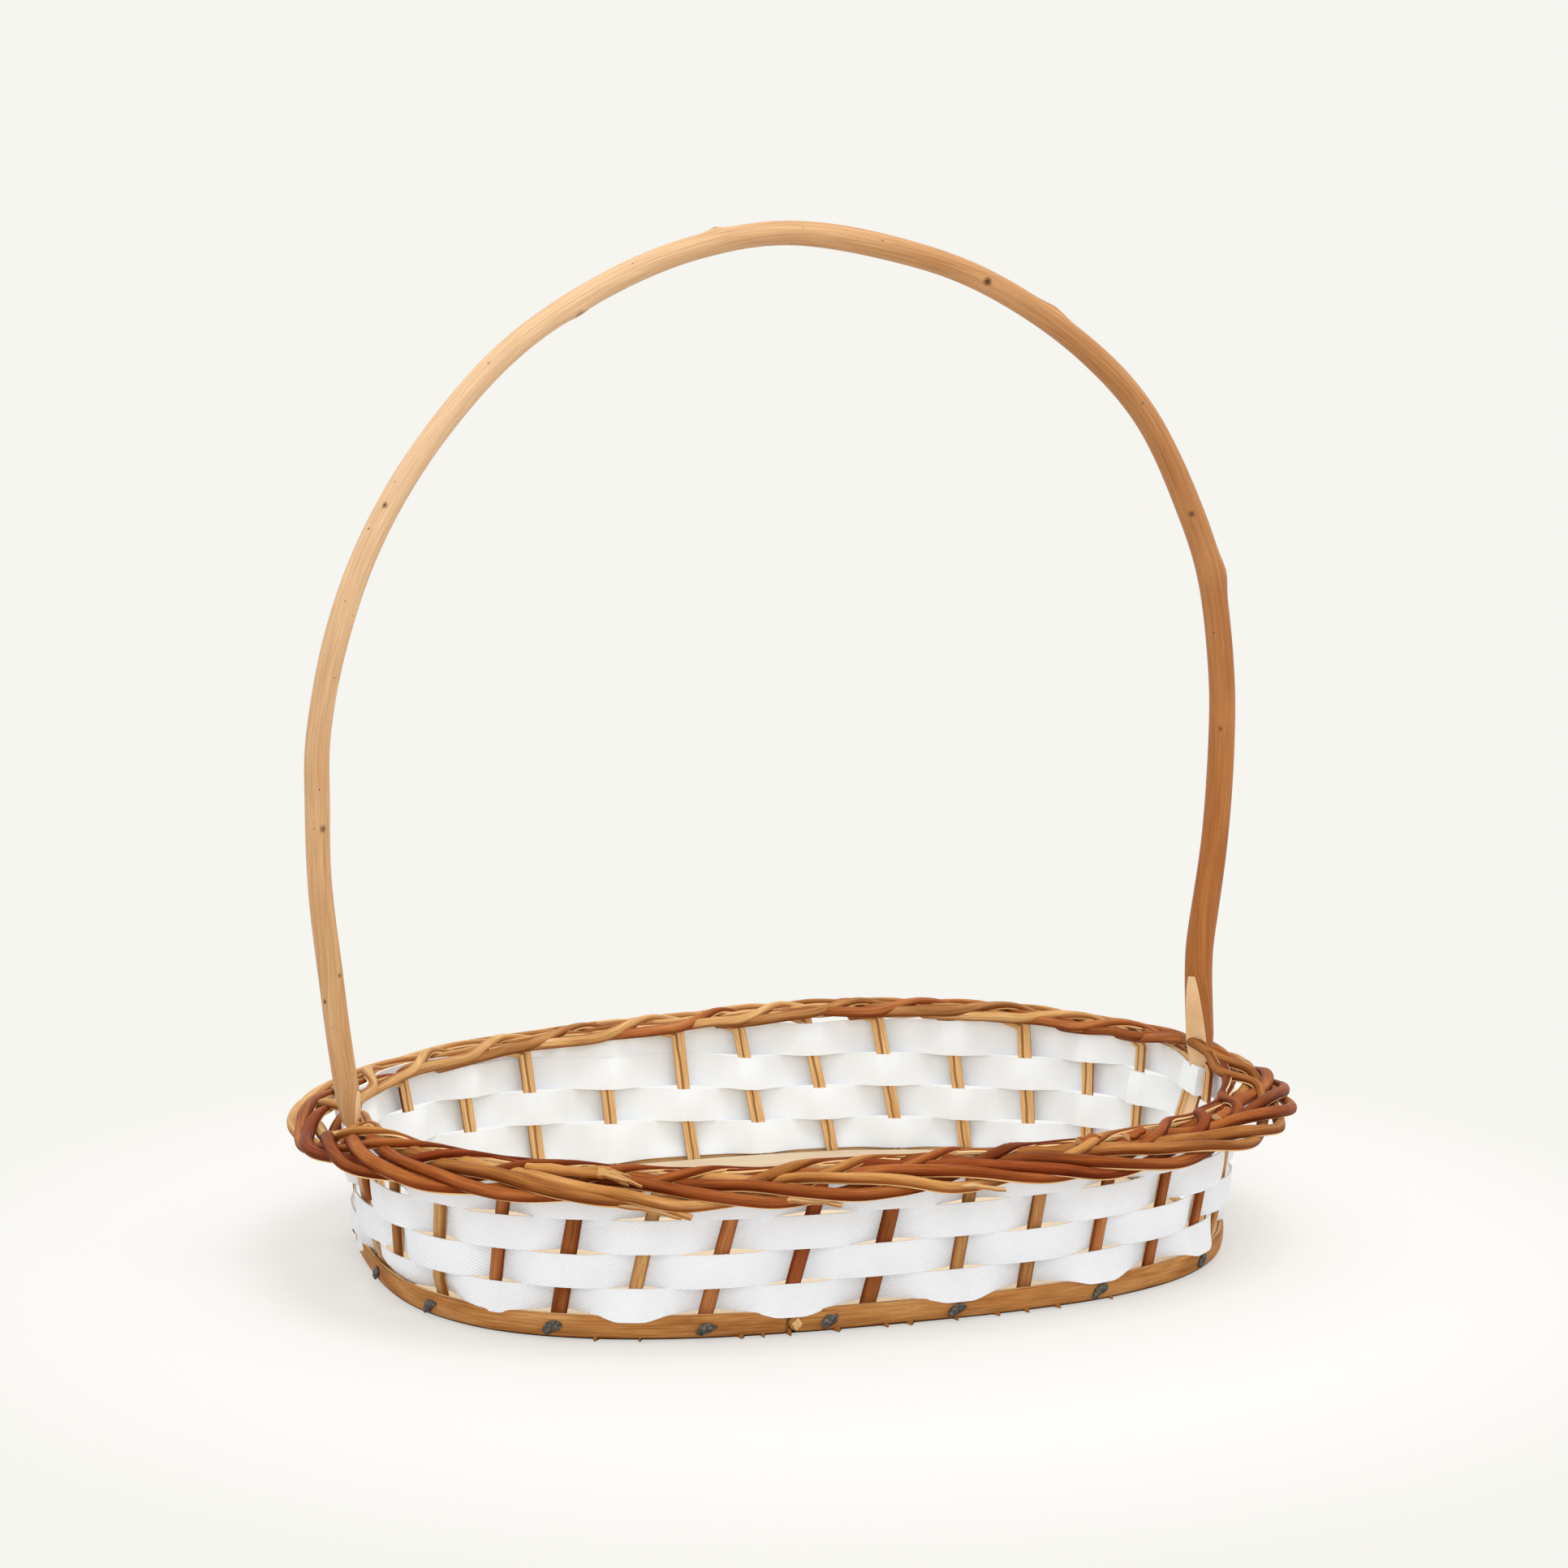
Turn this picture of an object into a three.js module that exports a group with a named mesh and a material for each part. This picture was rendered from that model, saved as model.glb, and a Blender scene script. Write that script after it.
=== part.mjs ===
// Oval gift basket: a board floor inside a split-willow hoop, willow stakes woven with white cotton
// tape, a three-pair plait made from the stake tops as the border, and a tall rod handle.
// Millimetres, +Z up, origin on the ground under the middle of the basket. X is the long way.
import * as THREE from "three";

// Driving sizes of the floor and its hoop. The oval's power squares it: 1 is an ellipse, less is squarer
const floorLength = 360;
const floorWidth = 268;
const ovalPowerShare = 0.8;
const boardThickness = 4;
const hoopThickness = 4.6;
const hoopBottom = 1;
const hoopTop = 10.4;
const hoopTipThickness = 1.8;

// Driving sizes of the wall
const wallHeight = 60.9;
const wallSplayLength = 7.5;
const wallSplayWidth = 4;
const rimShiftX = 1.6;
const rimShiftY = -4.5;
const frontPlaces = 17;
const backPlaces = 16;
const stakeWidth = 5.2;
const stakeThickness = 3.2;
const stakeFootHeight = 2;
const stakeStart = 8;
const stakeLean = 10.5;

// Driving sizes of the tape
const tapeWidth = 13.4;
const tapeThickness = 0.8;
const tapeRows = 4;
const tapeBulge = 0.7;
const tapeHold = 1;

// Driving sizes of the plaited border
const borderOut = 14.6;
const borderHeight = 64.2;
const borderTilt = THREE.MathUtils.degToRad(21);
const plaitSwing = 8.2;
const plaitPairSpacing = 5.6;
const plaitRise = 3.3;
const plaitEntry = 8;
const plaitRodWidth = 4.9;
const plaitRodThickness = 3.1;

// Driving sizes of the handle
const handleHeight = 420.6;
const handleHalfSpan = 195.5;
const handleLeftDiameter = 9.4;
const handleRightDiameter = 11.4;
const footWidth = 8.6;
const footBaseShift = 17;
const footTopShift = -2;
const footNeckThickness = 5.4;
const footScarfTop = 96;
const byeRodBottom = 34.4;

// Driving sizes of the nails
const nailHeadLength = 7;
const nailHeadWidth = 4.2;
const nailHeadThickness = 1.3;

// One clearance between pieces that touch
const clearance = 0.3;

const fullTurn = 2 * Math.PI;
const up = new THREE.Vector3(0, 0, 1);

// The stake line is the oval that the middle of every stake stands on
const hoopInnerOut = stakeThickness / 2 + clearance;
const stakeLineHalfLength = floorLength / 2 - hoopThickness - hoopInnerOut;
const stakeLineHalfWidth = floorWidth / 2 - hoopThickness - hoopInnerOut;

const signedPower = (value, power) => Math.sign(value) * Math.abs(value) ** power;
const mix = THREE.MathUtils.lerp;
const smooth = (value) => THREE.MathUtils.smoothstep(value, 0, 1);

// A point on the wall: angle around the oval, height above the ground, distance out of the stake line
function wallPoint(angle, height, out) {
  const rise = height / wallHeight;
  const halfLength = stakeLineHalfLength + wallSplayLength * rise;
  const halfWidth = stakeLineHalfWidth + wallSplayWidth * rise;
  const x = halfLength * signedPower(Math.cos(angle), ovalPowerShare);
  const y = halfWidth * signedPower(Math.sin(angle), ovalPowerShare);
  const normal = wallNormal(angle, halfLength, halfWidth);
  return new THREE.Vector3(
    x + normal.x * out + rimShiftX * rise,
    y + normal.y * out + rimShiftY * rise,
    height,
  );
}

function wallNormal(angle, halfLength = stakeLineHalfLength, halfWidth = stakeLineHalfWidth) {
  const power = 2 - ovalPowerShare;
  return new THREE.Vector3(
    signedPower(Math.cos(angle), power) / halfLength,
    signedPower(Math.sin(angle), power) / halfWidth,
    0,
  ).normalize();
}

// Arc lengths along the stake line, counterclockwise from the left end, to place pieces by distance
const arcSteps = 1440;
const arcLengths = [0];
for (let step = 1; step <= arcSteps; step++) {
  const last = wallPoint(Math.PI + ((step - 1) / arcSteps) * fullTurn, 0, 0);
  const next = wallPoint(Math.PI + (step / arcSteps) * fullTurn, 0, 0);
  arcLengths.push(arcLengths[step - 1] + last.distanceTo(next));
}
const girth = arcLengths[arcSteps];

// Each place round the wall holds a stake or a handle foot. The maker spaced them by eye, so pairs of
// the share of the way round and the shift there, as a share of the pitch, set them off an even spacing.
const stakePositions = frontPlaces + backPlaces;
const stakePitch = girth / stakePositions;
const unevenShares = [
  [0, 0],
  [0.18, -0.22],
  [0.3, 0],
  [0.38, 0.1],
  [0.515, 0],
  [0.61, -0.15],
  [0.76, -0.15],
  [0.88, 0.03],
  [1, 0],
];

function placeDistance(position) {
  const turns = Math.floor(position / stakePositions);
  const rest = position - turns * stakePositions;
  const halves = rest < frontPlaces ? rest / frontPlaces : 1 + (rest - frontPlaces) / backPlaces;
  const share = rest / stakePositions;
  const next = Math.max(unevenShares.findIndex(([place]) => place >= share), 1);
  const [[from, before], [to, after]] = [unevenShares[next - 1], unevenShares[next]];
  const shift = mix(before, after, smooth((share - from) / (to - from)));
  return (turns + halves / 2) * girth + shift * stakePitch;
}

function angleAt(distance) {
  const turns = Math.floor(distance / girth);
  const rest = distance - turns * girth;
  let low = 0;
  let high = arcSteps;
  while (high - low > 1) {
    const middle = (low + high) >> 1;
    if (arcLengths[middle] > rest) high = middle;
    else low = middle;
  }
  const part = (rest - arcLengths[low]) / (arcLengths[high] - arcLengths[low]);
  return Math.PI + (turns + (low + part) / arcSteps) * fullTurn;
}

// A closed solid through a row of rings of points; each flat end is a fan from its own pivot corner
function loft(rings, startPivot = 0, endPivot = 0) {
  const sides = rings[0].length;
  const positions = rings.flat().flatMap((point) => [point.x, point.y, point.z]);
  const faces = [];
  for (let span = 0; span < rings.length - 1; span++) {
    const near = span * sides;
    const far = near + sides;
    for (let side = 0; side < sides; side++) {
      const next = (side + 1) % sides;
      faces.push([near + side, near + next, far + next], [near + side, far + next, far + side]);
    }
  }
  const last = (rings.length - 1) * sides;
  for (let step = 1; step < sides - 1; step++) {
    const [first, second] = [(startPivot + step) % sides, (startPivot + step + 1) % sides];
    const [third, fourth] = [(endPivot + step) % sides, (endPivot + step + 1) % sides];
    faces.push([startPivot, second, first], [last + endPivot, last + third, last + fourth]);
  }
  return solidOf(positions, faces);
}

// Faces are turned over where they would point inward
function solidOf(positions, faces) {
  const corner = (index) => new THREE.Vector3().fromArray(positions, index * 3);
  let volume = 0;
  for (const [a, b, c] of faces) volume += corner(a).dot(corner(b).cross(corner(c)));
  const turned = volume < 0 ? faces.map(([a, b, c]) => [a, c, b]) : faces;
  const geometry = new THREE.BufferGeometry();
  geometry.setAttribute("position", new THREE.Float32BufferAttribute(positions, 3));
  geometry.setIndex(turned.flat());
  return geometry;
}

function place(group, name, geometry, colour, roughness = 0.6, metalness = 0) {
  geometry.computeVertexNormals();
  const mesh = new THREE.Mesh(
    geometry,
    new THREE.MeshStandardMaterial({ color: colour, roughness, metalness, flatShading: true }),
  );
  mesh.name = name;
  group.add(mesh);
  return mesh;
}

// Split-willow section: flat on the split face, rounded on the bark; shares of width and thickness
const splitSectionShares = [
  [-0.36, -0.5],
  [0.36, -0.5],
  [0.5, 0],
  [0, 0.5],
  [-0.5, 0],
];

// A rod swept through stations, each a point with the way its bark faces, a width and a thickness
function sweep(stations, sectionShares) {
  const rings = stations.map((station, index) => {
    const before = stations[Math.max(index - 1, 0)].point;
    const after = stations[Math.min(index + 1, stations.length - 1)].point;
    const along = after.clone().sub(before).normalize();
    const side = along.clone().cross(station.bark).normalize();
    const bark = side.clone().cross(along).normalize();
    return sectionShares.map(([across, through]) =>
      station.point
        .clone()
        .addScaledVector(side, across * station.width)
        .addScaledVector(bark, through * station.thickness),
    );
  });
  return loft(rings);
}

// Where a stake stands along the wall at a height: every stake leans the same way
const stakeDistance = (position, height) =>
  stakeStart + placeDistance(position) + (stakeLean * height) / wallHeight;

// The handle's feet lean the other way, and a thin bye rod stands beside each
const leftFootPosition = 0;
const rightFootPosition = frontPlaces;
const isFoot = (position) => [leftFootPosition, rightFootPosition].includes(position % stakePositions);
const footDistance = (position, height) =>
  placeDistance(position) + mix(footBaseShift, footTopShift, height / wallHeight);
const byeRodDistance = (position, height) =>
  footDistance(position, height) + footWidth / 2 + clearance + stakeWidth / 2;

// The border's own frame: across runs from its middle line to its outer edge, above runs up its back
function borderPoint(distance, across, above) {
  const angle = angleAt(distance);
  const out = borderOut + across * Math.cos(borderTilt) + above * Math.sin(borderTilt);
  const point = wallPoint(angle, wallHeight, out);
  point.z = borderHeight - across * Math.sin(borderTilt) + above * Math.cos(borderTilt);
  return point;
}

function borderBark(distance) {
  const bark = wallNormal(angleAt(distance)).multiplyScalar(Math.sin(borderTilt));
  bark.z = Math.cos(borderTilt);
  return bark;
}

// A stake top runs nearly twice across the border and back in three pairs: out over the outer half,
// back under it, over the inner half and under it again, beside the stake three places further on
const plaitTurnPitches = 3;
const plaitStep = Math.PI / 6;
const plaitFirst = -Math.PI / 3;
const plaitLast = (59 / 18) * Math.PI;
const plaitSwapStart = (5 / 4) * Math.PI;
const plaitSwapSpan = Math.PI / 4;
const plaitLag = Math.PI / 10;
const plaitSharpness = 2;

function plaitPlace(position, turn) {
  const pairSide = 1 - 2 * smooth((turn - plaitSwapStart) / plaitSwapSpan);
  const across = plaitSwing * Math.sin(turn) + (plaitPairSpacing / 2) * pairSide;
  const lifted = turn + plaitLag * Math.cos(turn) * pairSide;
  const wave = Math.tanh(plaitSharpness * Math.sin(2 * lifted)) / Math.tanh(plaitSharpness);
  const place = position + ((turn + Math.PI / 2) / fullTurn) * plaitTurnPitches;
  const distance = stakeDistance(place, wallHeight) + plaitEntry;
  return { distance, across, above: plaitRise * wave };
}

function plaitStations(position) {
  const stations = [];
  for (let turn = plaitFirst; turn < plaitLast; turn += plaitStep) {
    const { distance, across, above } = plaitPlace(position, turn);
    stations.push({
      point: borderPoint(distance, across, above),
      bark: borderBark(distance),
      width: plaitRodWidth,
      thickness: plaitRodThickness,
    });
  }
  return stations;
}

// The bend from the wall into the border, over the top edge of the tape
const bendRise = 4.8;
const bendReach = 9;
const bendSteps = 4;

function bendStations(start, startBark, plait) {
  const end = plait[0].point;
  const onward = plait[1].point.clone().sub(end).normalize();
  const curve = new THREE.CubicBezierCurve3(
    start,
    start.clone().addScaledVector(up, bendRise),
    end.clone().addScaledVector(onward, -bendReach),
    end,
  );
  const stations = [];
  for (let step = 1; step < bendSteps; step++) {
    const part = step / bendSteps;
    stations.push({
      point: curve.getPoint(part),
      bark: startBark.clone().lerp(plait[0].bark, smooth(part)).normalize(),
      width: mix(stakeWidth, plaitRodWidth, part),
      thickness: mix(stakeThickness, plaitRodThickness, part),
    });
  }
  return stations;
}

function stakeGeometry(position, heights, distanceAt) {
  const stations = heights.map((height) => {
    const angle = angleAt(distanceAt(position, height));
    return {
      point: wallPoint(angle, height, 0),
      bark: wallNormal(angle),
      width: stakeWidth,
      thickness: stakeThickness,
    };
  });
  const top = stations[stations.length - 1];
  const plait = plaitStations(position);
  return sweep([...stations, ...bendStations(top.point, top.bark, plait), ...plait], splitSectionShares);
}

const basket = new THREE.Group();

// Floor board
const stepsPerPitch = 2;

function boardGeometry() {
  const edgeOut = -(stakeThickness / 2 + clearance);
  const rings = [0, boardThickness].map((height) =>
    Array.from({ length: stakePositions * stepsPerPitch }, (_, step) => {
      const distance = stakeDistance(step / stepsPerPitch, boardThickness);
      const point = wallPoint(angleAt(distance), 0, edgeOut);
      point.z = height;
      return point;
    }),
  );
  return loft(rings);
}

// Tape rows run from the rim down, a clearance apart
const tapeRowPitch = tapeWidth + clearance;
const tapeCrestOut = stakeThickness / 2 + clearance + tapeThickness / 2;
const tapeTop = (row) => wallHeight - (row - 1) * tapeRowPitch;
const tapeBottom = (row) => tapeTop(row) - tapeWidth;

// Hoop: its back is cut away at the top so that the lowest tape tucks in behind it
const hoopOuterOut = hoopInnerOut + hoopThickness;
const hoopTuckOut = tapeCrestOut + tapeThickness / 2 + 2 * clearance;
const hoopTuckHeight = tapeBottom(tapeRows) - clearance;
const hoopFaceShares = [0.32, 0.68];
const hoopRoundShare = 0.26;
const hoopFaceHeight = (share) => mix(hoopBottom, hoopTop, share);
const hoopSection = [
  [hoopInnerOut, hoopBottom],
  [hoopOuterOut - hoopThickness * hoopRoundShare, hoopBottom],
  [hoopOuterOut, hoopFaceHeight(hoopFaceShares[0])],
  [hoopOuterOut, hoopFaceHeight(hoopFaceShares[1])],
  [hoopOuterOut - hoopThickness * hoopRoundShare, hoopTop],
  [hoopTuckOut, hoopTop],
  [hoopTuckOut, hoopTuckHeight],
  [hoopInnerOut, hoopTuckHeight - (hoopTuckOut - hoopInnerOut)],
];

const hoopFaceCorner = 2;
const hoopTuckCorner = 6;
const hoopJointPosition = 7;
const hoopScarfPitches = 1.5;

// The two ends are scarfed: the outer end's tip lies over the inner end
function hoopGeometry() {
  const scarfSteps = hoopScarfPitches * stepsPerPitch;
  const parting = (step) =>
    mix(hoopOuterOut - hoopTipThickness, hoopInnerOut + hoopTipThickness, step / scarfSteps);
  const rings = [];
  const add = (step, least, most, beyond = 0) => {
    const place = hoopJointPosition + step / stepsPerPitch;
    const angle = angleAt(stakeDistance(place, hoopTop) + beyond);
    rings.push(
      hoopSection.map(([out, height]) => wallPoint(angle, height, THREE.MathUtils.clamp(out, least, most))),
    );
  };
  const lastStep = stakePositions * stepsPerPitch;
  for (let step = 0; step < scarfSteps; step++) add(step, parting(step) + clearance / 2, hoopOuterOut);
  add(scarfSteps, parting(scarfSteps) + clearance / 2, hoopOuterOut, clearance);
  add(scarfSteps, hoopInnerOut, hoopOuterOut, 2 * clearance);
  for (let step = scarfSteps + 1; step < lastStep; step++) add(step, hoopInnerOut, hoopOuterOut);
  add(lastStep, hoopInnerOut, hoopOuterOut, -2 * clearance);
  add(lastStep, hoopInnerOut, parting(0) - clearance / 2, -clearance);
  for (let step = 1; step <= scarfSteps; step++) {
    add(lastStep + step, hoopInnerOut, parting(step) - clearance / 2);
  }
  return loft(rings, hoopFaceCorner, hoopTuckCorner);
}

// Nails: one through the hoop into every other stake and one through its joint, each with a crushed,
// slanting head
const nailEvery = 2;
const jointNailPosition = hoopJointPosition + 1 / 2;
const nailPositions = [];
for (let place = 0; place < hoopJointPosition; place += nailEvery) nailPositions.push(place);
nailPositions.push(jointNailPosition);
for (let place = hoopJointPosition + nailEvery; place < stakePositions; place += nailEvery) {
  nailPositions.push(place);
}
const nailSides = 6;
const nailSlant = THREE.MathUtils.degToRad(28);
const nailCrownShare = 0.6;

function nailGeometry(position) {
  const height = mix(hoopBottom, hoopTop, 1 / 2);
  const distance = (isFoot(position) ? footDistance : stakeDistance)(position, height);
  const angle = angleAt(distance);
  const normal = wallNormal(angle);
  const along = up.clone().cross(normal);
  const long = along.multiplyScalar(Math.cos(nailSlant)).addScaledVector(up, Math.sin(nailSlant));
  const short = normal.clone().cross(long);
  const ring = (out, share) =>
    Array.from({ length: nailSides }, (_, side) => {
      const turn = (side / nailSides) * fullTurn;
      return wallPoint(angle, height, out)
        .addScaledVector(long, (nailHeadLength / 2) * share * Math.cos(turn))
        .addScaledVector(short, (nailHeadWidth / 2) * share * Math.sin(turn));
    });
  const seat = hoopOuterOut + clearance;
  return loft([ring(seat, 1), ring(seat + nailHeadThickness, nailCrownShare)]);
}

// Tape: odd rows pass outside the even stakes, even rows outside the odd ones. The places are odd in
// number, so each row once passes two neighbours on one side, and its sides change over from there.
const tapeChangePositions = [25, 31, 32, 30];
const tapeLapPositions = [rightFootPosition, rightFootPosition + 1, stakePositions - 1, stakePositions - 2];

function tapeSide(row, position) {
  const place = position % stakePositions;
  const changed = place >= tapeChangePositions[row - 1] ? 1 : 0;
  return (place + row + changed) % 2 === 1 ? 1 : -1;
}

// The stretch that a row lies flat on at one position, from its first to its last edge
function tapeCrest(row, position) {
  const height = (tapeTop(row) + tapeBottom(row)) / 2;
  if (!isFoot(position)) {
    const middle = stakeDistance(position, height);
    return [middle - stakeWidth / 2 - tapeHold, middle + stakeWidth / 2 + tapeHold];
  }
  const foot = footDistance(position, height);
  const withByeRod = tapeTop(row) > byeRodBottom;
  const last = withByeRod
    ? byeRodDistance(position, height) + stakeWidth / 2
    : foot + footWidth / 2;
  return [foot - footWidth / 2 - tapeHold, last + tapeHold];
}

function tapeGeometry(row) {
  const lap = tapeLapPositions[row - 1];
  const stations = [];
  const between = (position, back) => {
    const [, last] = tapeCrest(row, position - 1);
    const [first] = tapeCrest(row, position);
    const [near, far] = [tapeSide(row, position - 1), tapeSide(row, position)];
    const out = near === far ? tapeCrestOut * far : tapeBulge;
    stations.push({ distance: (last + first) / 2, out: out - back });
  };
  for (let position = lap; position <= lap + stakePositions; position++) {
    const back = position === lap + stakePositions ? tapeThickness + clearance : 0;
    const out = tapeCrestOut * tapeSide(row, position) - back;
    between(position, back);
    for (const distance of tapeCrest(row, position)) stations.push({ distance, out });
    if (back) between(position + 1, back);
  }
  const rings = stations.map(({ distance, out }) => {
    const angle = angleAt(distance);
    const inner = out - tapeThickness / 2;
    const outer = out + tapeThickness / 2;
    return [
      wallPoint(angle, tapeBottom(row), inner),
      wallPoint(angle, tapeBottom(row), outer),
      wallPoint(angle, tapeTop(row), outer),
      wallPoint(angle, tapeTop(row), inner),
    ];
  });
  return loft(rings);
}

// Handle: one rod bent into an arch; its ends are shaved to flat feet and woven in like stakes.
// The arch's middle line, as shares of its half span and of its height, from left to right
const archShares = [
  [-0.974, 0.273],
  [-0.998, 0.385],
  [-1.0, 0.4615],
  [-0.996, 0.524],
  [-0.957, 0.616],
  [-0.885, 0.707],
  [-0.767, 0.798],
  [-0.591, 0.889],
  [-0.39, 0.95],
  [-0.2, 0.9855],
  [0, 1],
  [0.257, 0.982],
  [0.447, 0.951],
  [0.663, 0.887],
  [0.8, 0.822],
  [0.9125, 0.7226],
  [0.962, 0.656],
  [0.992, 0.5555],
  [0.995, 0.488],
  [0.983, 0.387],
  [0.954, 0.286],
];
const handleSides = 8;
const archSteps = 32;
const neckBottom = wallHeight + clearance;
const neckMiddle = borderHeight + plaitRodWidth;
const neckTop = borderHeight + 2 * plaitRodWidth;
const neckOut = stakeThickness / 2 - clearance;
const handleSectionShares = Array.from({ length: handleSides }, (_, side) => {
  const turn = ((side + 1 / 2) / handleSides) * fullTurn;
  return [Math.cos(turn) / 2, Math.sin(turn) / 2];
});

function footStations(position) {
  const stations = [];
  const add = (height, thickness, width, out) => {
    const angle = angleAt(footDistance(position, Math.min(height, wallHeight)));
    const point = wallPoint(angle, Math.min(height, wallHeight), out);
    point.z = height;
    stations.push({ point, bark: wallNormal(angle), width, thickness });
  };
  for (const height of [stakeFootHeight, wallHeight / 2, neckBottom]) {
    add(height, stakeThickness, footWidth, 0);
  }
  for (const height of [neckMiddle, neckTop]) {
    add(height, footNeckThickness, footWidth, neckOut - footNeckThickness / 2);
  }
  return stations;
}

// The scarf of a foot: from its flat neck the rod swells to its full round and leans into the arch
function scarfStations(neck, archEnd, leaning) {
  const reach = (archEnd.point.z - neck.point.z) / 3;
  const curve = new THREE.CubicBezierCurve3(
    neck.point,
    neck.point.clone().addScaledVector(up, reach),
    archEnd.point.clone().addScaledVector(leaning, -reach / leaning.z),
    archEnd.point,
  );
  return [mix(neckTop, footScarfTop, 1 / 2), footScarfTop].map((height) => {
    const part = (height - neck.point.z) / (archEnd.point.z - neck.point.z);
    const swollen = (height - neckTop) / (footScarfTop - neckTop);
    return {
      point: curve.getPoint(part),
      bark: neck.bark.clone().lerp(archEnd.bark, part).normalize(),
      width: mix(neck.width, archEnd.width, swollen),
      thickness: mix(neck.thickness, archEnd.thickness, swollen),
    };
  });
}

function handleGeometry() {
  const archHeight = handleHeight - handleLeftDiameter / 2;
  const arch = new THREE.CatmullRomCurve3(
    archShares.map(([across, rise]) => new THREE.Vector3(across * handleHalfSpan, 0, rise * archHeight)),
    false,
    "centripetal",
  );
  const left = footStations(leftFootPosition);
  const right = footStations(rightFootPosition);
  const stations = [];
  for (let step = 0; step <= archSteps; step++) {
    const part = step / archSteps;
    const tangent = arch.getTangentAt(part);
    const diameter = mix(handleLeftDiameter, handleRightDiameter, smooth(2 * part - 1));
    stations.push({
      point: arch.getPointAt(part),
      bark: new THREE.Vector3(-tangent.z, 0, tangent.x),
      width: diameter,
      thickness: diameter,
    });
  }
  const leftScarf = scarfStations(left.at(-1), stations[0], arch.getTangentAt(0));
  const rightScarf = scarfStations(right.at(-1), stations.at(-1), arch.getTangentAt(1).negate());
  const fromTheLeft = [...left, ...leftScarf, ...stations];
  return sweep([...fromTheLeft, ...rightScarf.reverse(), ...right.reverse()], handleSectionShares);
}

const twoDigits = (position) => String(position).padStart(2, "0");
const willow = "#b9793a";
const willowRed = "#a5562a";
const willowTan = "#c08a4e";

place(basket, "floor_board", boardGeometry(), "#d8cdb4", 0.7);
place(basket, "floor_hoop", hoopGeometry(), willowTan, 0.5);
nailPositions.forEach((position, index) => {
  place(basket, `hoop_nail_${twoDigits(index * nailEvery)}`, nailGeometry(position), "#4f4c47", 0.45, 0.8);
});

for (let row = 1; row <= tapeRows; row++) {
  place(basket, `tape_row_${row}`, tapeGeometry(row), "#f4f3f0", 0.9);
}

for (let position = 0; position < stakePositions; position++) {
  if (isFoot(position)) continue;
  const name = `stake_${twoDigits(position)}`;
  const colour = position % 3 === 0 ? willowTan : position % 3 === 1 ? willow : willowRed;
  place(basket, name, stakeGeometry(position, [stakeFootHeight, wallHeight], stakeDistance), colour);
}
place(basket, "bye_rod_left", stakeGeometry(leftFootPosition, [byeRodBottom, wallHeight], byeRodDistance), willow);
place(basket, "bye_rod_right", stakeGeometry(rightFootPosition, [byeRodBottom, wallHeight], byeRodDistance), willow);
place(basket, "handle", handleGeometry(), "#c7935a", 0.5);

// The origin comes under the middle of the whole basket
const extent = new THREE.Box3().setFromObject(basket);
const middle = extent.getCenter(new THREE.Vector3());
basket.position.set(-middle.x, -middle.y, -extent.min.z);

export default basket;
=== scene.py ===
import random
from math import asin, cos, pi, radians, sin, sqrt, tanh

import bpy
import numpy as np
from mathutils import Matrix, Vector


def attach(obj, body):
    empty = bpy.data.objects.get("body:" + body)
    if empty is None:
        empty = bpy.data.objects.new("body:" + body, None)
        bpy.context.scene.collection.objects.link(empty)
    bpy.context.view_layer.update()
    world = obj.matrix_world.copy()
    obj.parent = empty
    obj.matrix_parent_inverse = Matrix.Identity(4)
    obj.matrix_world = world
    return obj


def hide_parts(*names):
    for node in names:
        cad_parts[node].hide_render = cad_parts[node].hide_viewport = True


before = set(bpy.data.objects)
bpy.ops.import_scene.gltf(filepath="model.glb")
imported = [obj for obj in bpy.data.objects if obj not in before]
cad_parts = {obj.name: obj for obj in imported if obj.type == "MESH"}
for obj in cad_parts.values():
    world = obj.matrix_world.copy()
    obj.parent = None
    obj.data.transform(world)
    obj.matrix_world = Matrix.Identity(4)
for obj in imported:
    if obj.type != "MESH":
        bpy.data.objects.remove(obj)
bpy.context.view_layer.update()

# Floor board: an oval of thin pale plywood, plain and unvarnished. It lies inside the ring of stakes,
# and small nails hold them and the hoop against its edge.


def paint(red, green, blue):
    """A colour as the eye reads it, from 0 to 255, made into a shader's colour."""
    shares = [channel / 255 for channel in (red, green, blue)]
    return tuple([s / 12.92 if s <= 0.04045 else ((s + 0.055) / 1.055) ** 2.4 for s in shares] + [1.0])


def fresh_finish(name, roughness, specular=0.5, metallic=0.0, sheen=0.0):
    """A new finish without a colour yet, and its node tree."""
    finish = bpy.data.materials.new(name)
    finish.use_nodes = True
    surface = finish.node_tree.nodes["Principled BSDF"]
    surface.inputs["Roughness"].default_value = roughness
    surface.inputs["Specular IOR Level"].default_value = specular
    surface.inputs["Metallic"].default_value = metallic
    surface.inputs["Sheen Weight"].default_value = sheen
    return finish, finish.node_tree


def node(tree, kind, sockets, output=0, **settings):
    """One output of a new shader node. Each socket gets a plain value, or an output to link to."""
    made = tree.nodes.new(f"ShaderNode{kind}")
    for name, value in settings.items():
        setattr(made, name, value)
    for name, value in sockets.items():
        if isinstance(value, bpy.types.NodeSocket):
            tree.links.new(value, made.inputs[name])
        else:
            made.inputs[name].default_value = value
    return made.outputs[output]


def ramp(tree, factor, stops):
    """Colours along a factor. Stops are pairs of a place from 0 to 1 and a colour from 0 to 255."""
    blended = node(tree, "ValToRGB", {"Fac": factor}, "Color")
    elements = blended.node.color_ramp.elements
    stops = list(stops)
    while len(elements) < len(stops):
        elements.new(0.5)
    for element, (place, colour) in zip(elements, stops):
        element.position = place
        element.color = paint(*colour)
    return blended


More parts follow.
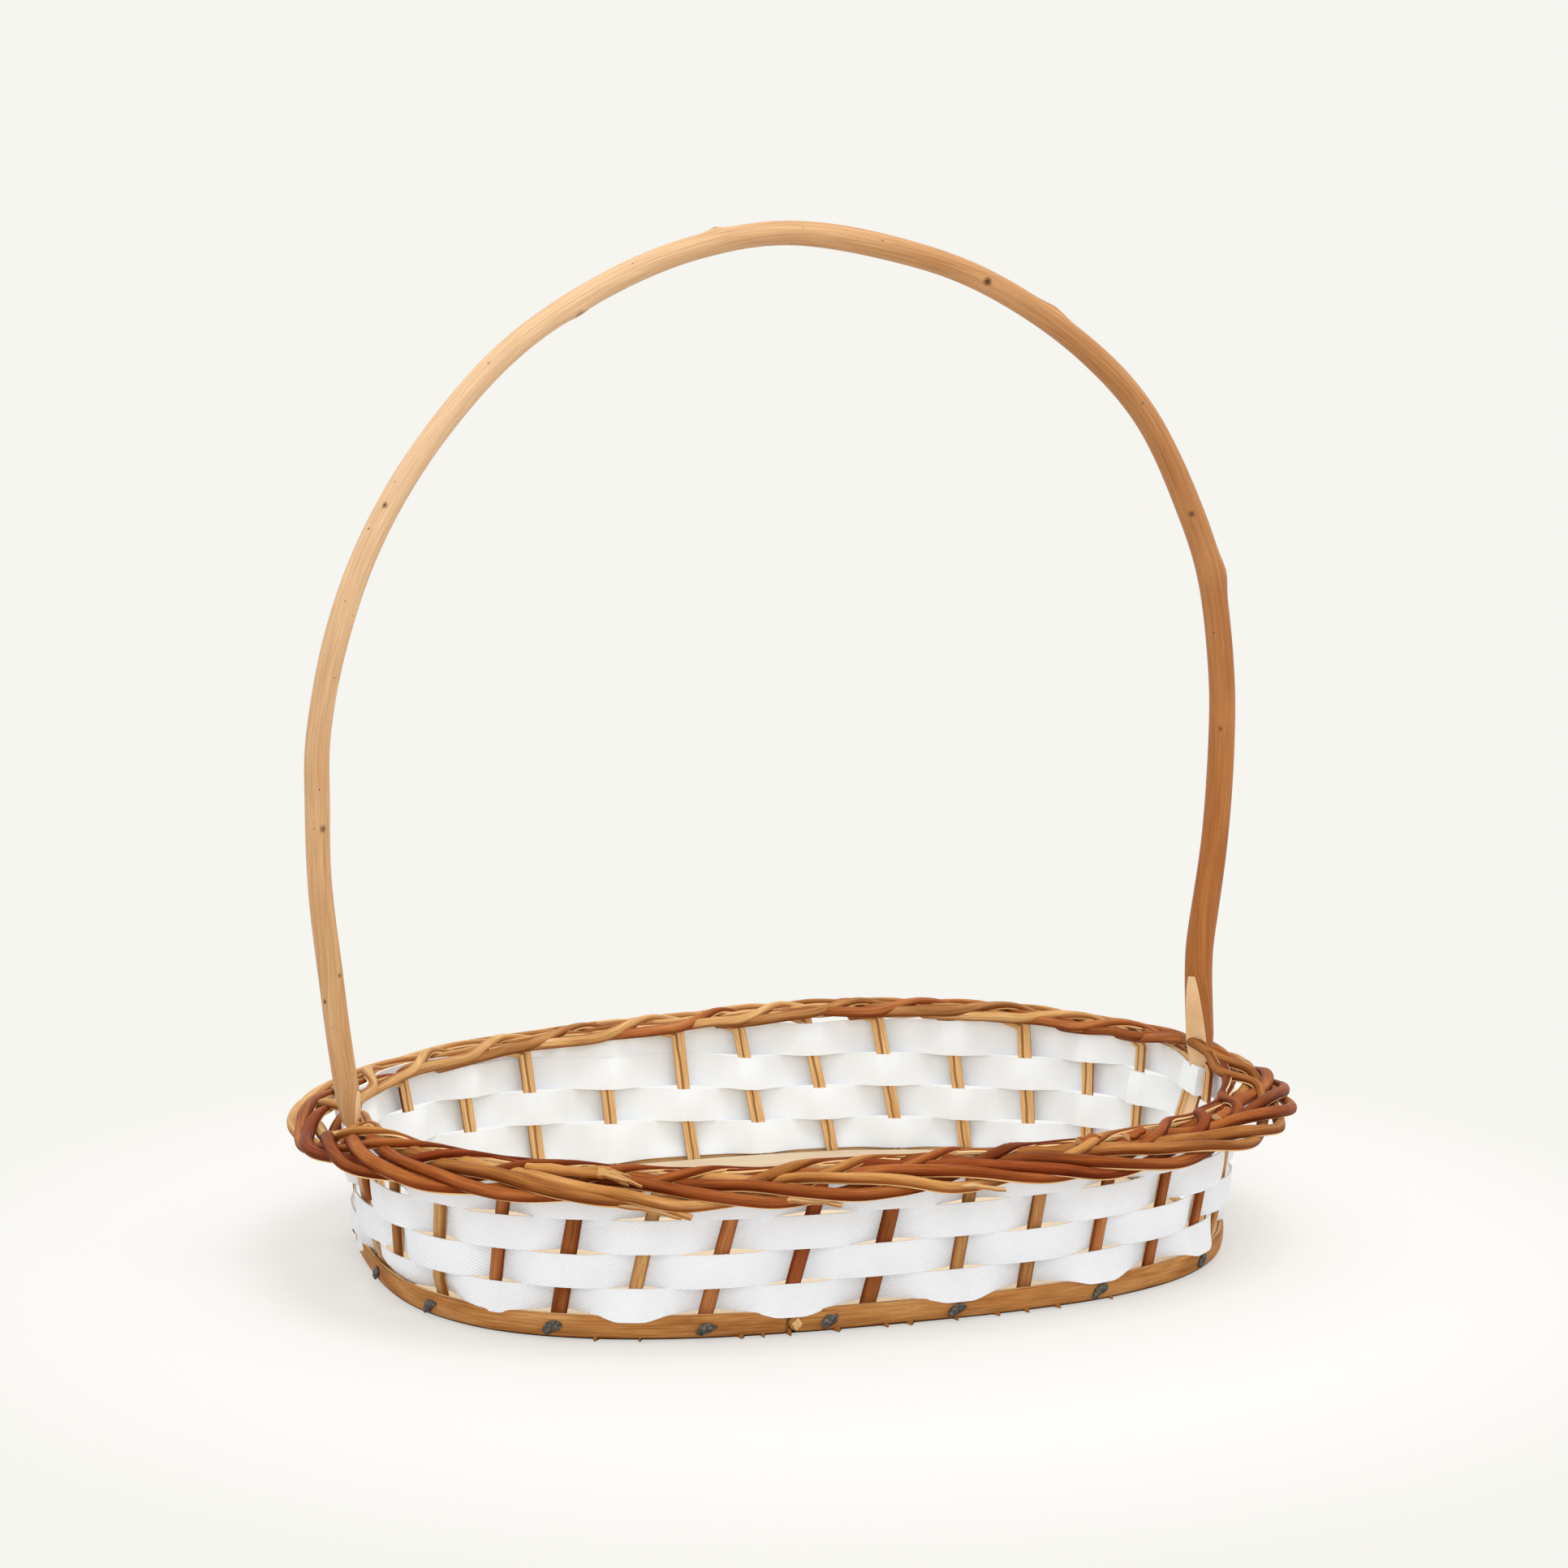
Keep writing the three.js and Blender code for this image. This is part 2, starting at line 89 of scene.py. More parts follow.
def blend_colours(tree, factor, first, second, mode="MIX"):
    """Blends the second colour into the first. The second is a socket, or a colour from 0 to 255."""
    second = paint(*second) if isinstance(second, tuple) else second
    sockets = {0: factor, 6: first, 7: second}
    return node(tree, "Mix", sockets, 2, data_type="RGBA", blend_type=mode)


def object_place(tree):
    return node(tree, "TexCoord", {}, "Object")


def cloud(tree, place, across, along, through=1.0, detail=2.0, rough=0.55):
    """Noise with blots so many metres wide, long and deep."""
    scale = (1 / across, 1 / along, 1 / through)
    stretched = node(tree, "Mapping", {"Vector": place, "Scale": scale})
    sockets = {"Vector": stretched, "Scale": 1.0, "Detail": detail, "Roughness": rough}
    return node(tree, "TexNoise", sockets, "Fac")


def finished(finish, colour, height, depth):
    """Gives a finish its colour, and its relief from a height between 0 and 1, so many metres deep."""
    tree = finish.node_tree
    surface = tree.nodes["Principled BSDF"]
    relief = node(tree, "Bump", {"Height": height, "Strength": 1.0, "Distance": depth})
    tree.links.new(colour, surface.inputs["Base Color"])
    tree.links.new(relief, surface.inputs["Normal"])
    return finish


def plywood_finish():
    finish, tree = fresh_finish("plywood", 0.7, 0.3)
    place = object_place(tree)
    grain = cloud(tree, place, 0.05, 0.0012, 0.01, detail=4.0)
    figure = cloud(tree, place, 0.16, 0.02, 0.01)
    wood = ramp(tree, grain, [(0.3, (204, 186, 158)), (0.7, (220, 204, 180))])
    tint = ramp(tree, figure, [(0.35, (244, 236, 224)), (0.7, (255, 252, 248))])
    return finished(finish, blend_colours(tree, 1.0, wood, tint, "MULTIPLY"), grain, 0.0002)


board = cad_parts["floor_board"]
board.data.materials.clear()
board.data.materials.append(plywood_finish())

# Stakes: 31 split willow rods, bark outward, in a ring round the floor. Each is nailed at its foot, goes
# up the wall, bends over the rim and is plaited into the border beside the tops of its neighbours.
# Two thin bye rods, one beside each handle foot, are plaited in the same way.
MM = 0.001
FLOOR_LENGTH = 360.0
FLOOR_WIDTH = 268.0
FOOT_POWER = 0.72
RIM_POWER = 0.79
HOOP_THICKNESS = 4.6
STAKE_THICKNESS = 3.2
CLEARANCE = 0.3
WALL_HEIGHT = 60.9
SPLAY_LENGTH = 8.6
SPLAY_WIDTH = 4.0
END_INSET = 2.6
END_OVERHANG = 4.9
OVERHANG_BOTTOM = 7.0
OVERHANG_RISE = 9.0
ENDS_ONLY = 8
RIM_SHIFT_X = 0.6
RIM_SHIFT_Y = -4.5
HOOP_INNER = STAKE_THICKNESS / 2 + CLEARANCE
HALF_LENGTH = FLOOR_LENGTH / 2 - HOOP_THICKNESS - HOOP_INNER - END_INSET
HALF_WIDTH = FLOOR_WIDTH / 2 - HOOP_THICKNESS - HOOP_INNER
UP = np.array([0.0, 0.0, 1.0])


def smooth(value):
    value = np.clip(value, 0.0, 1.0)
    return value * value * (3 - 2 * value)


def powered(value, power):
    return np.sign(value) * np.abs(value) ** power


def unit(vectors):
    return vectors / np.linalg.norm(vectors, axis=-1, keepdims=True)


def outward(angle, half_length=HALF_LENGTH, half_width=HALF_WIDTH, power=RIM_POWER):
    """The level way out of the wall. The lower the power, the squarer the oval; 1 is an ellipse."""
    across = powered(np.cos(angle), 2 - power) / half_length
    along = powered(np.sin(angle), 2 - power) / half_width
    return unit(np.stack([across, along, np.zeros_like(across)], axis=-1))


def wall_point(angle, height, out=0.0):
    """A point of the wall, in millimetres: angle round it, height, and distance outside the stakes."""
    angle, height, out = np.broadcast_arrays(*(np.asarray(v, float) for v in (angle, height, out)))
    rise = height / WALL_HEIGHT
    half_length = HALF_LENGTH + SPLAY_LENGTH * rise
    half_width = HALF_WIDTH + SPLAY_WIDTH * rise
    overhang = END_OVERHANG * np.cos(angle) ** ENDS_ONLY
    out = out + overhang * smooth((height - OVERHANG_BOTTOM) / OVERHANG_RISE)
    power = FOOT_POWER + (RIM_POWER - FOOT_POWER) * rise
    normal = outward(angle, half_length, half_width, power)
    x = half_length * powered(np.cos(angle), power) + normal[..., 0] * out + RIM_SHIFT_X * rise
    y = half_width * powered(np.sin(angle), power) + normal[..., 1] * out + RIM_SHIFT_Y * rise
    return np.stack([x, y, height], axis=-1)


def lengths_along(points):
    """How far along a line of points each of them lies."""
    return np.concatenate([[0.0], np.cumsum(np.linalg.norm(np.diff(points, axis=0), axis=1))])


ARC_STEPS = 1440
arc_angles = pi + np.arange(ARC_STEPS + 1) / ARC_STEPS * 2 * pi
arc_lengths = lengths_along(wall_point(arc_angles, WALL_HEIGHT / 2))
GIRTH = arc_lengths[-1]


def angle_at(distance):
    """The angle reached by going that far round the stakes, from the left end past the front."""
    distance = np.asarray(distance, float)
    turns = np.floor(distance / GIRTH)
    return np.interp(distance - turns * GIRTH, arc_lengths, arc_angles) + turns * 2 * pi


# The places in the ring, and the rods that stand in them
FRONT_PLACES = 17
BACK_PLACES = 16
PLACES = FRONT_PLACES + BACK_PLACES
PITCH = GIRTH / PLACES
UNEVEN_PLACES = np.array([0.0, 0.18, 0.3, 0.38, 0.515, 0.61, 0.76, 0.82, 0.9, 1.0])
UNEVEN_SHIFTS = np.array([0.0, -0.22, 0.0, 0.1, 0.0, -0.15, -0.15, 0.14, 0.22, 0.0])
STAKE_WIDTH = 5.8
STAKE_FOOT = 2.0
STAKE_START = 8.0
STAKE_LEAN = 10.5
BORDER_OUT = 13.9
BORDER_HEIGHT = 64.0
LEFT_END_IN = 2.4
BORDER_TILT = radians(22)
SAG_PLACES = [0, 1.5, 3.5, 6, 7, 8.3, 9.7, 11, 13, 17, 19, 21, 23, 25, 27, 29, 31, 33]
SAGS = [1.2, -1.2, -1.7, 1.0, 0.2, -0.5, -0.5, 0.8, 0.8, 0.0, -0.5, -3.6, -4.2, -1.6, 0.4, 3.0, 3.4, 1.2]
SWING = 10.6
SWING_RANGE = (0.9, 1.05)
SWING_EVENNESS = 0.95
PLAIT_RISE = 2.2
PLAIT_ENTRY = 6.0
ENTRY_SPREAD = 3.5
PLAIT_PITCHES = 6
PLAIT_FIRST = -pi / 3
PLAIT_LAST = 35 / 18 * pi
PLAIT_STEP = pi / 36
PLAIT_LAG = pi / 10
PLAIT_SHARPNESS = 1.3
LIP_START = 1.14 * pi
LIP_SPAN = 0.34 * pi
LIP_OUT = -5.2
LIP_HEIGHT = 65.2
LIP_RETREAT = 14.8
LIP_DROP = 6.0
LIP_ROOM = 1.6
LIP_BACK_UP = 0.45
LIP_BACK_IN = 0.9
LIP_LIFT = 8.0
LIP_LIFT_SPREAD = 0.22
LIP_LIFT_IN = 1.4
HANDLE_ROOM = 4.4
RIGHT_ROOM = 0.35
HANDLE_ROOM_REACH = 19.0
HANDLE_ROOM_EDGE = 7.0
HANDLE_SAG = 3.0
INNER_SAG = 5.0
INNER_SAG_START = 4.0
INNER_SAG_SPAN = 12.0
PLAIT_ROD_WIDTH = 5.9
PLAIT_ROD_THICKNESS = 3.7
TIP_WIDTH = 4.2
TIP_THINNING = 0.15
TIP_SLANTS = (0.6, 2.0)
ROD_SIZES = (0.9, 1.1)
ROD_WANDER = 1.0
ROD_WANDER_OUT = 0.45
ROD_TWIST = 0.3
WALL_WANDER = 0.2
FREEING_RATE = 5
FREEING_DELAY = 0.3
PLAITED_FROM = 0.12
PLAITED_SPAN = 0.2
TAPERED_FROM = 0.35
THINNED_FROM = 0.4
GRAIN_STEP = 0.713
BEND_RISE = 1.2
BEND_REACH = 9.0
WALL_STATIONS = 14
BEND_STATIONS = 12
LEFT_FOOT = 0
RIGHT_FOOT = FRONT_PLACES
FEET = (LEFT_FOOT, RIGHT_FOOT)
FOOT_WIDTH = 8.6
FOOT_BASE_SHIFTS = {LEFT_FOOT: 17.0, RIGHT_FOOT: 9.0}
FOOT_TOP_SHIFT = -2.0
BYE_ROD_BOTTOM = 34.4
# The whole basket moves by this, which centres its box on the frame's origin
SHIFT = np.array([-1.6, 4.5, 0.0])


def place_distance(place):
    """How far round the wall a place lies. The maker spaced them by eye, a little unevenly."""
    place = np.asarray(place, float)
    turns = np.floor(place / PLACES)
    rest = place - turns * PLACES
    halves = np.where(rest < FRONT_PLACES, rest / FRONT_PLACES, 1 + (rest - FRONT_PLACES) / BACK_PLACES)
    share = rest / PLACES
    after = np.clip(np.searchsorted(UNEVEN_PLACES, share), 1, len(UNEVEN_PLACES) - 1)
    first, last = UNEVEN_PLACES[after - 1], UNEVEN_PLACES[after]
    least, most = UNEVEN_SHIFTS[after - 1], UNEVEN_SHIFTS[after]
    shift = least + (most - least) * smooth((share - first) / (last - first))
    return (turns + halves / 2) * GIRTH + shift * PITCH


def stake_distance(place, height):
    return STAKE_START + place_distance(place) + STAKE_LEAN * height / WALL_HEIGHT


def foot_distance(place, height):
    base = FOOT_BASE_SHIFTS[place % PLACES]
    return place_distance(place) + base + (FOOT_TOP_SHIFT - base) * height / WALL_HEIGHT


def bye_rod_distance(position, height):
    return foot_distance(position, height) + FOOT_WIDTH / 2 + CLEARANCE + STAKE_WIDTH / 2


def sag(distance):
    """How far the border hangs down along the front, or is raised, as at the front left."""
    return np.interp((distance / PITCH) % PLACES, SAG_PLACES, SAGS)


def border_point(distance, across, above):
    angle = angle_at(distance)
    out = BORDER_OUT + across * cos(BORDER_TILT) + above * sin(BORDER_TILT)
    out = out - LEFT_END_IN * np.clip(-np.cos(angle), 0, 1) ** ENDS_ONLY
    point = wall_point(angle, WALL_HEIGHT, out)
    lowered, raised = across * sin(BORDER_TILT), above * cos(BORDER_TILT)
    point[..., 2] = BORDER_HEIGHT - lowered + raised - sag(distance)
    return point


def border_back(distance):
    return outward(angle_at(distance)) * sin(BORDER_TILT) + UP * cos(BORDER_TILT)


def room_beside_handle(distance, feet=FEET):
    """1 where a strand passes a handle foot, fading to 0 on both sides of it."""
    room = np.zeros_like(distance)
    for foot in feet:
        beside = foot_distance(foot, WALL_HEIGHT) - distance
        beside = beside - np.round(beside / GIRTH) * GIRTH
        most = RIGHT_ROOM if foot == RIGHT_FOOT else 1.0
        room = np.maximum(room, most * np.exp(-((beside / HANDLE_ROOM_REACH) ** 2)))
    return room


def plait_path(position, chance):
    """One stake top in the border: out over its neighbours to the edge, back under them, and along the
    inner lip, where it covers the bends of the stakes that follow."""
    turn = np.arange(PLAIT_FIRST, PLAIT_LAST, PLAIT_STEP)
    swing = SWING * chance.uniform(*SWING_RANGE)
    across = swing * np.arcsin(SWING_EVENNESS * np.sin(turn)) / asin(SWING_EVENNESS)
    lifted = turn + PLAIT_LAG * np.cos(turn)
    above = PLAIT_RISE * np.tanh(PLAIT_SHARPNESS * np.sin(2 * lifted)) / tanh(PLAIT_SHARPNESS)
    place = position + (turn + pi / 2) / (2 * pi) * PLAIT_PITCHES
    distance = stake_distance(place, WALL_HEIGHT) + PLAIT_ENTRY + chance.uniform(-ENTRY_SPREAD, ENTRY_SPREAD)
    room = room_beside_handle(distance)
    left_room = room_beside_handle(distance, [LEFT_FOOT])
    dropped = HANDLE_SAG * room + INNER_SAG * left_room * smooth((INNER_SAG_START - across) / INNER_SAG_SPAN)
    across = across + HANDLE_ROOM * room * smooth((HANDLE_ROOM_EDGE - across) / HANDLE_ROOM_EDGE / 2)
    lip = smooth((turn - LIP_START) / LIP_SPAN)[:, None]
    gone = np.clip((turn - LIP_START - LIP_SPAN) / (2 * pi), -0.1, 1)
    angle = angle_at(distance)
    right_room = (room_beside_handle(distance, [RIGHT_FOOT]) / RIGHT_ROOM) ** LIP_LIFT_SPREAD
    lip_heights = LIP_HEIGHT - LIP_DROP * gone - sag(distance) + LIP_LIFT * right_room
    lip_outs = LIP_OUT + LIP_RETREAT * gone - LIP_ROOM * room - LIP_LIFT_IN * right_room
    lip_points = wall_point(angle, lip_heights, lip_outs)
    border = border_point(distance, across, above) - UP * dropped[:, None]
    points = border * (1 - lip) + lip_points * lip
    lip_backs = LIP_BACK_UP * UP - LIP_BACK_IN * outward(angle)
    backs = border_back(distance) * (1 - lip) + lip_backs * lip
    return points, unit(backs)


def bezier(points, shares):
    first, second, third, fourth = points
    share = shares[:, None]
    rest = 1 - share
    return rest**3 * first + 3 * rest**2 * share * second + 3 * rest * share**2 * third + share**3 * fourth


def wander(shares, amount, chance, waves=4):
    """A slow wander to and fro along a rod, as no willow grows quite straight."""
    total = np.zeros_like(shares)
    for wave in range(1, waves + 1):
        phase = chance.uniform(0, 2 * pi)
        total += sqrt(1 / wave) * np.sin(2 * pi * wave * 1.7 * shares + phase)
    return total * amount / 2


def frames_along(points, backs):
    along = unit(np.gradient(points, axis=0))
    sides = unit(np.cross(along, backs))
    return along, sides, np.cross(sides, along)


def placed(name, data):
    piece = bpy.data.objects.new(name, data)
    bpy.context.scene.collection.objects.link(piece)
    return piece


def skin(name, rings, around, lengths, finishes, patch=None, caps=(0, 0), crease=38.0):
    """A closed skin over rings of points. around and lengths are its texture coordinates, in metres."""
    count, sides = rings.shape[:2]
    points = (rings.reshape(-1, 3) + SHIFT) * MM
    faces, coordinates = [], []
    for ring in range(count - 1):
        for side in range(sides):
            corners = ((ring, side), (ring, side + 1), (ring + 1, side + 1), (ring + 1, side))
            faces.append([at * sides + corner % sides for at, corner in corners])
            coordinates.extend((around[corner], lengths[at]) for at, corner in corners)
    for ring, order in ((0, -1), (count - 1, 1)):
        faces.append([ring * sides + side for side in range(sides)][::order])
        coordinates.extend([(around[side], lengths[ring]) for side in range(sides)][::order])
    patches = (patch or [0] * sides) * (count - 1) + list(caps)
    mesh = bpy.data.meshes.new(name)
    mesh.from_pydata([tuple(p) for p in points], [], faces)
    layer = mesh.uv_layers.new(name="grain")
    layer.data.foreach_set("uv", np.array(coordinates, np.float32).ravel())
    mesh.polygons.foreach_set("material_index", np.array(patches, np.int32))
    mesh.update()
    mesh.shade_smooth()
    mesh.set_sharp_from_angle(angle=radians(crease))
    for finish in finishes:
        mesh.materials.append(finish)
    return placed(name, mesh)


# The section of a split rod: a rounded back of bark, two sharp edges and a nearly flat split face
BARK_STEPS = 9
bark_turns = np.linspace(0, pi, BARK_STEPS)
bark_section = np.stack([0.5 * np.cos(bark_turns), -0.3 + 0.8 * np.sin(bark_turns) ** 0.8], axis=1)
split_section = np.array([[-0.44, -0.5], [-0.16, -0.46], [0.16, -0.47], [0.44, -0.5]])
SPLIT_SECTION = np.concatenate([bark_section, split_section])
SPLIT_PATCH = [0] * (BARK_STEPS - 1) + [1] * (len(split_section) + 1)
SPLIT_MIDDLE = 0.0135


def lengths_round(section):
    """How far round a closed section, given in millimetres, each of its corners lies, in metres."""
    return lengths_along(np.concatenate([section, section[:1]])) * MM


def split_rod(name, points, backs, widths, thicknesses, twist, tone, grain_start, slant):
    """A split rod along a line of points, bark outward, with a slanting cut at its end."""
    along, sides, backs = frames_along(points, backs)
    turned = np.stack([np.cos(twist), np.sin(twist)], axis=1)
    side = sides * turned[:, :1] + backs * turned[:, 1:]
    back = backs * turned[:, :1] - sides * turned[:, 1:]
    wide = SPLIT_SECTION[None, :, :1] * widths[:, None, None]
    deep = SPLIT_SECTION[None, :, 1:] * thicknesses[:, None, None]
    rings = points[:, None] + side[:, None] * wide + back[:, None] * deep
    rings[-1] += along[-1] * (deep[-1] * slant)
    around = lengths_round(SPLIT_SECTION * [STAKE_WIDTH, STAKE_THICKNESS])
    lengths = lengths_along(points) * MM + grain_start
    piece = skin(name, rings, around, lengths, [bark[tone], split_wood], SPLIT_PATCH, (1, 1))
    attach(piece, "root")
    return piece


def maths(tree, operation, *values):
    return node(tree, "Math", dict(enumerate(values)), operation=operation)


def between(tree, value, start, end, first=0.0, last=1.0, **settings):
    """Goes from first to last while the value goes from start to end."""
    sockets = {"Value": value, "From Min": start, "From Max": end, "To Min": first, "To Max": last}
    return node(tree, "MapRange", sockets, **settings)


def darkened(tree, factor, colour, shade):
    """The colour, multiplied by the shade as far as the factor says."""
    return blend_colours(tree, factor, colour, blend_colours(tree, 1.0, colour, shade, "MULTIPLY"))


def grain_place(tree):
    """The place on a rod or a strip in metres: X across its skin and Y along it."""
    return node(tree, "UVMap", {}, uv_map="grain")


def parts_of(tree, vector):
    """The X, Y and Z of a place."""
    return node(tree, "SeparateXYZ", {"Vector": vector}).node.outputs


def bark_finish(name, tones, middle=0.0045, edges=(0.0016, 0.0038), edge_shade=(186, 148, 116)):
    """Willow bark: long streaks of three tones, painted shade darkening the rod's two edges, with dark
    specks.
    """
    finish, tree = fresh_finish(name, 0.48, 0.03)
    place = grain_place(tree)
    streaks = cloud(tree, place, 0.0011, 0.034, detail=4.0)
    patches = cloud(tree, place, 0.011, 0.045)
    fibres = cloud(tree, place, 0.00035, 0.012)
    tone = ramp(tree, streaks, zip((0.3, 0.5, 0.72), tones))
    broad = ramp(tree, patches, zip((0.34, 0.52, 0.7), tones))
    bark = blend_colours(tree, 0.5, tone, broad)
    shade = ramp(tree, fibres, [(0.3, (200, 188, 178)), (0.65, (255, 255, 255))])
    bark = blend_colours(tree, 0.8, bark, shade, "MULTIPLY")
    # Painted shade: the colour is darkened towards both edges of the skin by the edge_shade colour, as far
    # as edges says
    aside = maths(tree, "ABSOLUTE", maths(tree, "SUBTRACT", parts_of(tree, place)["X"], middle))
    bark = darkened(tree, between(tree, aside, *edges), bark, edge_shade)
    specks = cloud(tree, place, 0.0013, 0.0026, detail=1.0)
    speck = ramp(tree, specks, [(0.765, (0, 0, 0)), (0.8, (255, 255, 255))])
    bark = blend_colours(tree, speck, bark, (62, 34, 20))
    # Painted shade: along the front the rods of the border are darkened more than those of the wall
    spot = parts_of(tree, object_place(tree))
    high = between(tree, spot["Z"], 0.054, 0.064)
    front = between(tree, spot["Y"], 0.05, -0.02)
    bark = darkened(tree, maths(tree, "MULTIPLY", high, front), bark, (228, 208, 180))
    return finished(finish, bark, streaks, 0.00035)


def split_finish(name, tones):
    """The split face of a rod: pale fibrous wood with the dark line of the pith down its middle."""
    finish, tree = fresh_finish(name, 0.62, 0.3)
    place = grain_place(tree)
    fibres = cloud(tree, place, 0.00045, 0.03, detail=4.0)
    wood = ramp(tree, fibres, zip((0.28, 0.5, 0.7), tones))
    drift = cloud(tree, place, 0.05, 0.021)
    moved = maths(tree, "MULTIPLY_ADD", drift, 0.0022, parts_of(tree, place)["X"])
    aside = maths(tree, "ABSOLUTE", maths(tree, "SUBTRACT", moved, SPLIT_MIDDLE))
    pith = between(tree, aside, 0.0002, 0.0008, 0.85, 0.0)
    return finished(finish, blend_colours(tree, pith, wood, (122, 72, 30)), fibres, 0.00035)


TONES = {
    "tan": [(134, 86, 46), (178, 126, 76), (210, 162, 108)],
    "golden": [(170, 122, 72), (213, 166, 108), (234, 200, 148)],
    "orange": [(132, 72, 36), (174, 106, 60), (206, 144, 90)],
    "brown": [(108, 54, 26), (150, 86, 44), (184, 120, 70)],
    "red": [(108, 48, 24), (150, 78, 42), (182, 108, 62)],
    "pale": [(196, 156, 104), (226, 194, 146), (240, 216, 176)],
}
bark = {tone: bark_finish(f"bark_{tone}", colours) for tone, colours in TONES.items()}
split_wood = split_finish("split_willow", [(186, 132, 70), (220, 175, 115), (240, 210, 163)])
STAKE_TONES = (
    "orange tan golden orange brown golden orange red brown tan tan orange brown orange golden tan orange "
    "tan golden orange golden tan golden golden golden tan golden golden golden orange red brown orange"
).split()


def stake(name, position, foot, distance_at, chance):
    top = WALL_HEIGHT - float(sag(distance_at(position, WALL_HEIGHT)))
    heights = np.linspace(foot, top, WALL_STATIONS)
    angles = angle_at(distance_at(position, heights))
    wall, wall_backs = wall_point(angles, heights), outward(angles)
    plait, plait_backs = plait_path(position, chance)
    onward = unit(plait[1] - plait[0])
    knots = [wall[-1], wall[-1] + UP * BEND_RISE, plait[0] - onward * BEND_REACH, plait[0]]
    shares = np.arange(1, BEND_STATIONS) / BEND_STATIONS
    bend = bezier(knots, shares)
    turn = smooth(shares)[:, None]
    bend_backs = unit(wall_backs[-1] * (1 - turn) + plait_backs[0] * turn)
    points = np.concatenate([wall, bend, plait])
    backs = np.concatenate([wall_backs, bend_backs, plait_backs])
    share = np.linspace(0, 1, len(points))
    freed = smooth(share * FREEING_RATE - FREEING_DELAY)
    aside = np.cross(unit(np.gradient(points, axis=0)), backs)
    held = WALL_WANDER + (1 - WALL_WANDER) * freed
    points = points + aside * (wander(share, ROD_WANDER, chance) * held)[:, None]
    points = points + backs * (wander(share, ROD_WANDER_OUT, chance, 6) * freed)[:, None]
    plaited = smooth((share - PLAITED_FROM) / PLAITED_SPAN)
    widths = STAKE_WIDTH + (PLAIT_ROD_WIDTH - STAKE_WIDTH) * plaited
    tapered = np.clip((share - TAPERED_FROM) / (1 - TAPERED_FROM), 0, 1)
    widths = widths + (TIP_WIDTH - PLAIT_ROD_WIDTH) * tapered
    widths = widths * (chance.uniform(*ROD_SIZES) + wander(share, 0.05, chance, 6))
    thicknesses = STAKE_THICKNESS + (PLAIT_ROD_THICKNESS - STAKE_THICKNESS) * plaited
    thinned = np.clip((share - THINNED_FROM) / (1 - THINNED_FROM), 0, 1)
    thicknesses = thicknesses * (1 - TIP_THINNING * thinned)
    twist = wander(share, ROD_TWIST, chance, 3) * freed
    slant = chance.uniform(*TIP_SLANTS)
    tone, grain_start = STAKE_TONES[position], position * GRAIN_STEP
    return split_rod(name, points, backs, widths, thicknesses, twist, tone, grain_start, slant)


chance = random.Random(32)
for position in range(PLACES):
    if position in FEET:
        side_name = "left" if position == LEFT_FOOT else "right"
        rod = stake(f"willow_bye_rod_{side_name}", position, BYE_ROD_BOTTOM, bye_rod_distance, chance)
        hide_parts(f"bye_rod_{side_name}")
    else:
        rod = stake(f"willow_stake_{position:02d}", position, STAKE_FOOT, stake_distance, chance)
        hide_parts(f"stake_{position:02d}")

# Loose ends: some stake tips end in sight, one chewed to a pale brush, some as thin torn tails under the
# front edge and some as cut stubs on the inner edge. Each: place, distance across, rise, turn to the
# outside, dip, length, width, tone.
LOOSE_ENDS = [
    (3.8, -3.5, 2.7, 4.0, -2.6, 28.0, 4.6, "golden"),
    (4.8, 8.5, 0.0, 3.4, 4.2, 24.0, 4.6, "golden"),
    (4.7, 10.0, -1.0, 2.0, 3.4, 24.0, 3.6, "pale"),
    (6.6, 10.0, -0.4, 2.2, 2.2, 19.0, 3.2, "pale"),
    (8.7, 10.0, -0.4, 2.4, 2.0, 20.0, 3.0, "pale"),
    (10.62, -8.5, 0.8, -2.0, -0.8, 9.0, 4.8, "orange"),
    (11.3, -8.0, 0.6, -1.5, -0.8, 9.0, 4.8, "orange"),
    (12.8, -5.0, 1.4, -1.0, -0.6, 9.0, 5.0, "orange"),
    (22.4, -1.0, 2.2, 5.0, -0.6, 24.0, 4.4, "tan"),
    (26.2, 0.0, 2.2, 5.0, -0.6, 22.0, 4.2, "tan"),
]
END_THICKNESS_SHARE = 0.52
END_THINNING = 0.3
END_CURVE = 1.6
END_WANDER = 0.3
END_TWIST = 0.25
END_SLANT = 1.5
END_TAPER = 0.75
CHEWED_TAPER = 1.5
END_GRAIN_STEP = 0.37
END_STATIONS = 12

chance = random.Random(77)


def loose_end(name, place, across, rise, turning, dipping, length, width, tone, taper):
    share = np.linspace(0, 1, END_STATIONS)
    curved = share**END_CURVE
    distances = place * PITCH + length * share
    points = border_point(distances, across + turning * curved, rise)
    points[:, 2] -= dipping * curved
    points = points + UP * (wander(share, END_WANDER, chance, 2))[:, None]
    backs = border_back(distances)
    widths = width * (1 - (1 - taper) * share)
    thicknesses = width * END_THICKNESS_SHARE * (1 - END_THINNING * share)
    twist = wander(share, END_TWIST, chance, 1)
    slant = chance.uniform(-END_SLANT, END_SLANT)
    split_rod(name, points, backs, widths, thicknesses, twist, tone, place * END_GRAIN_STEP, slant)


for index, measures in enumerate(LOOSE_ENDS):
    taper = CHEWED_TAPER if index == 0 else END_TAPER
    loose_end(f"willow_loose_end_{index + 1:02d}", *measures, taper)

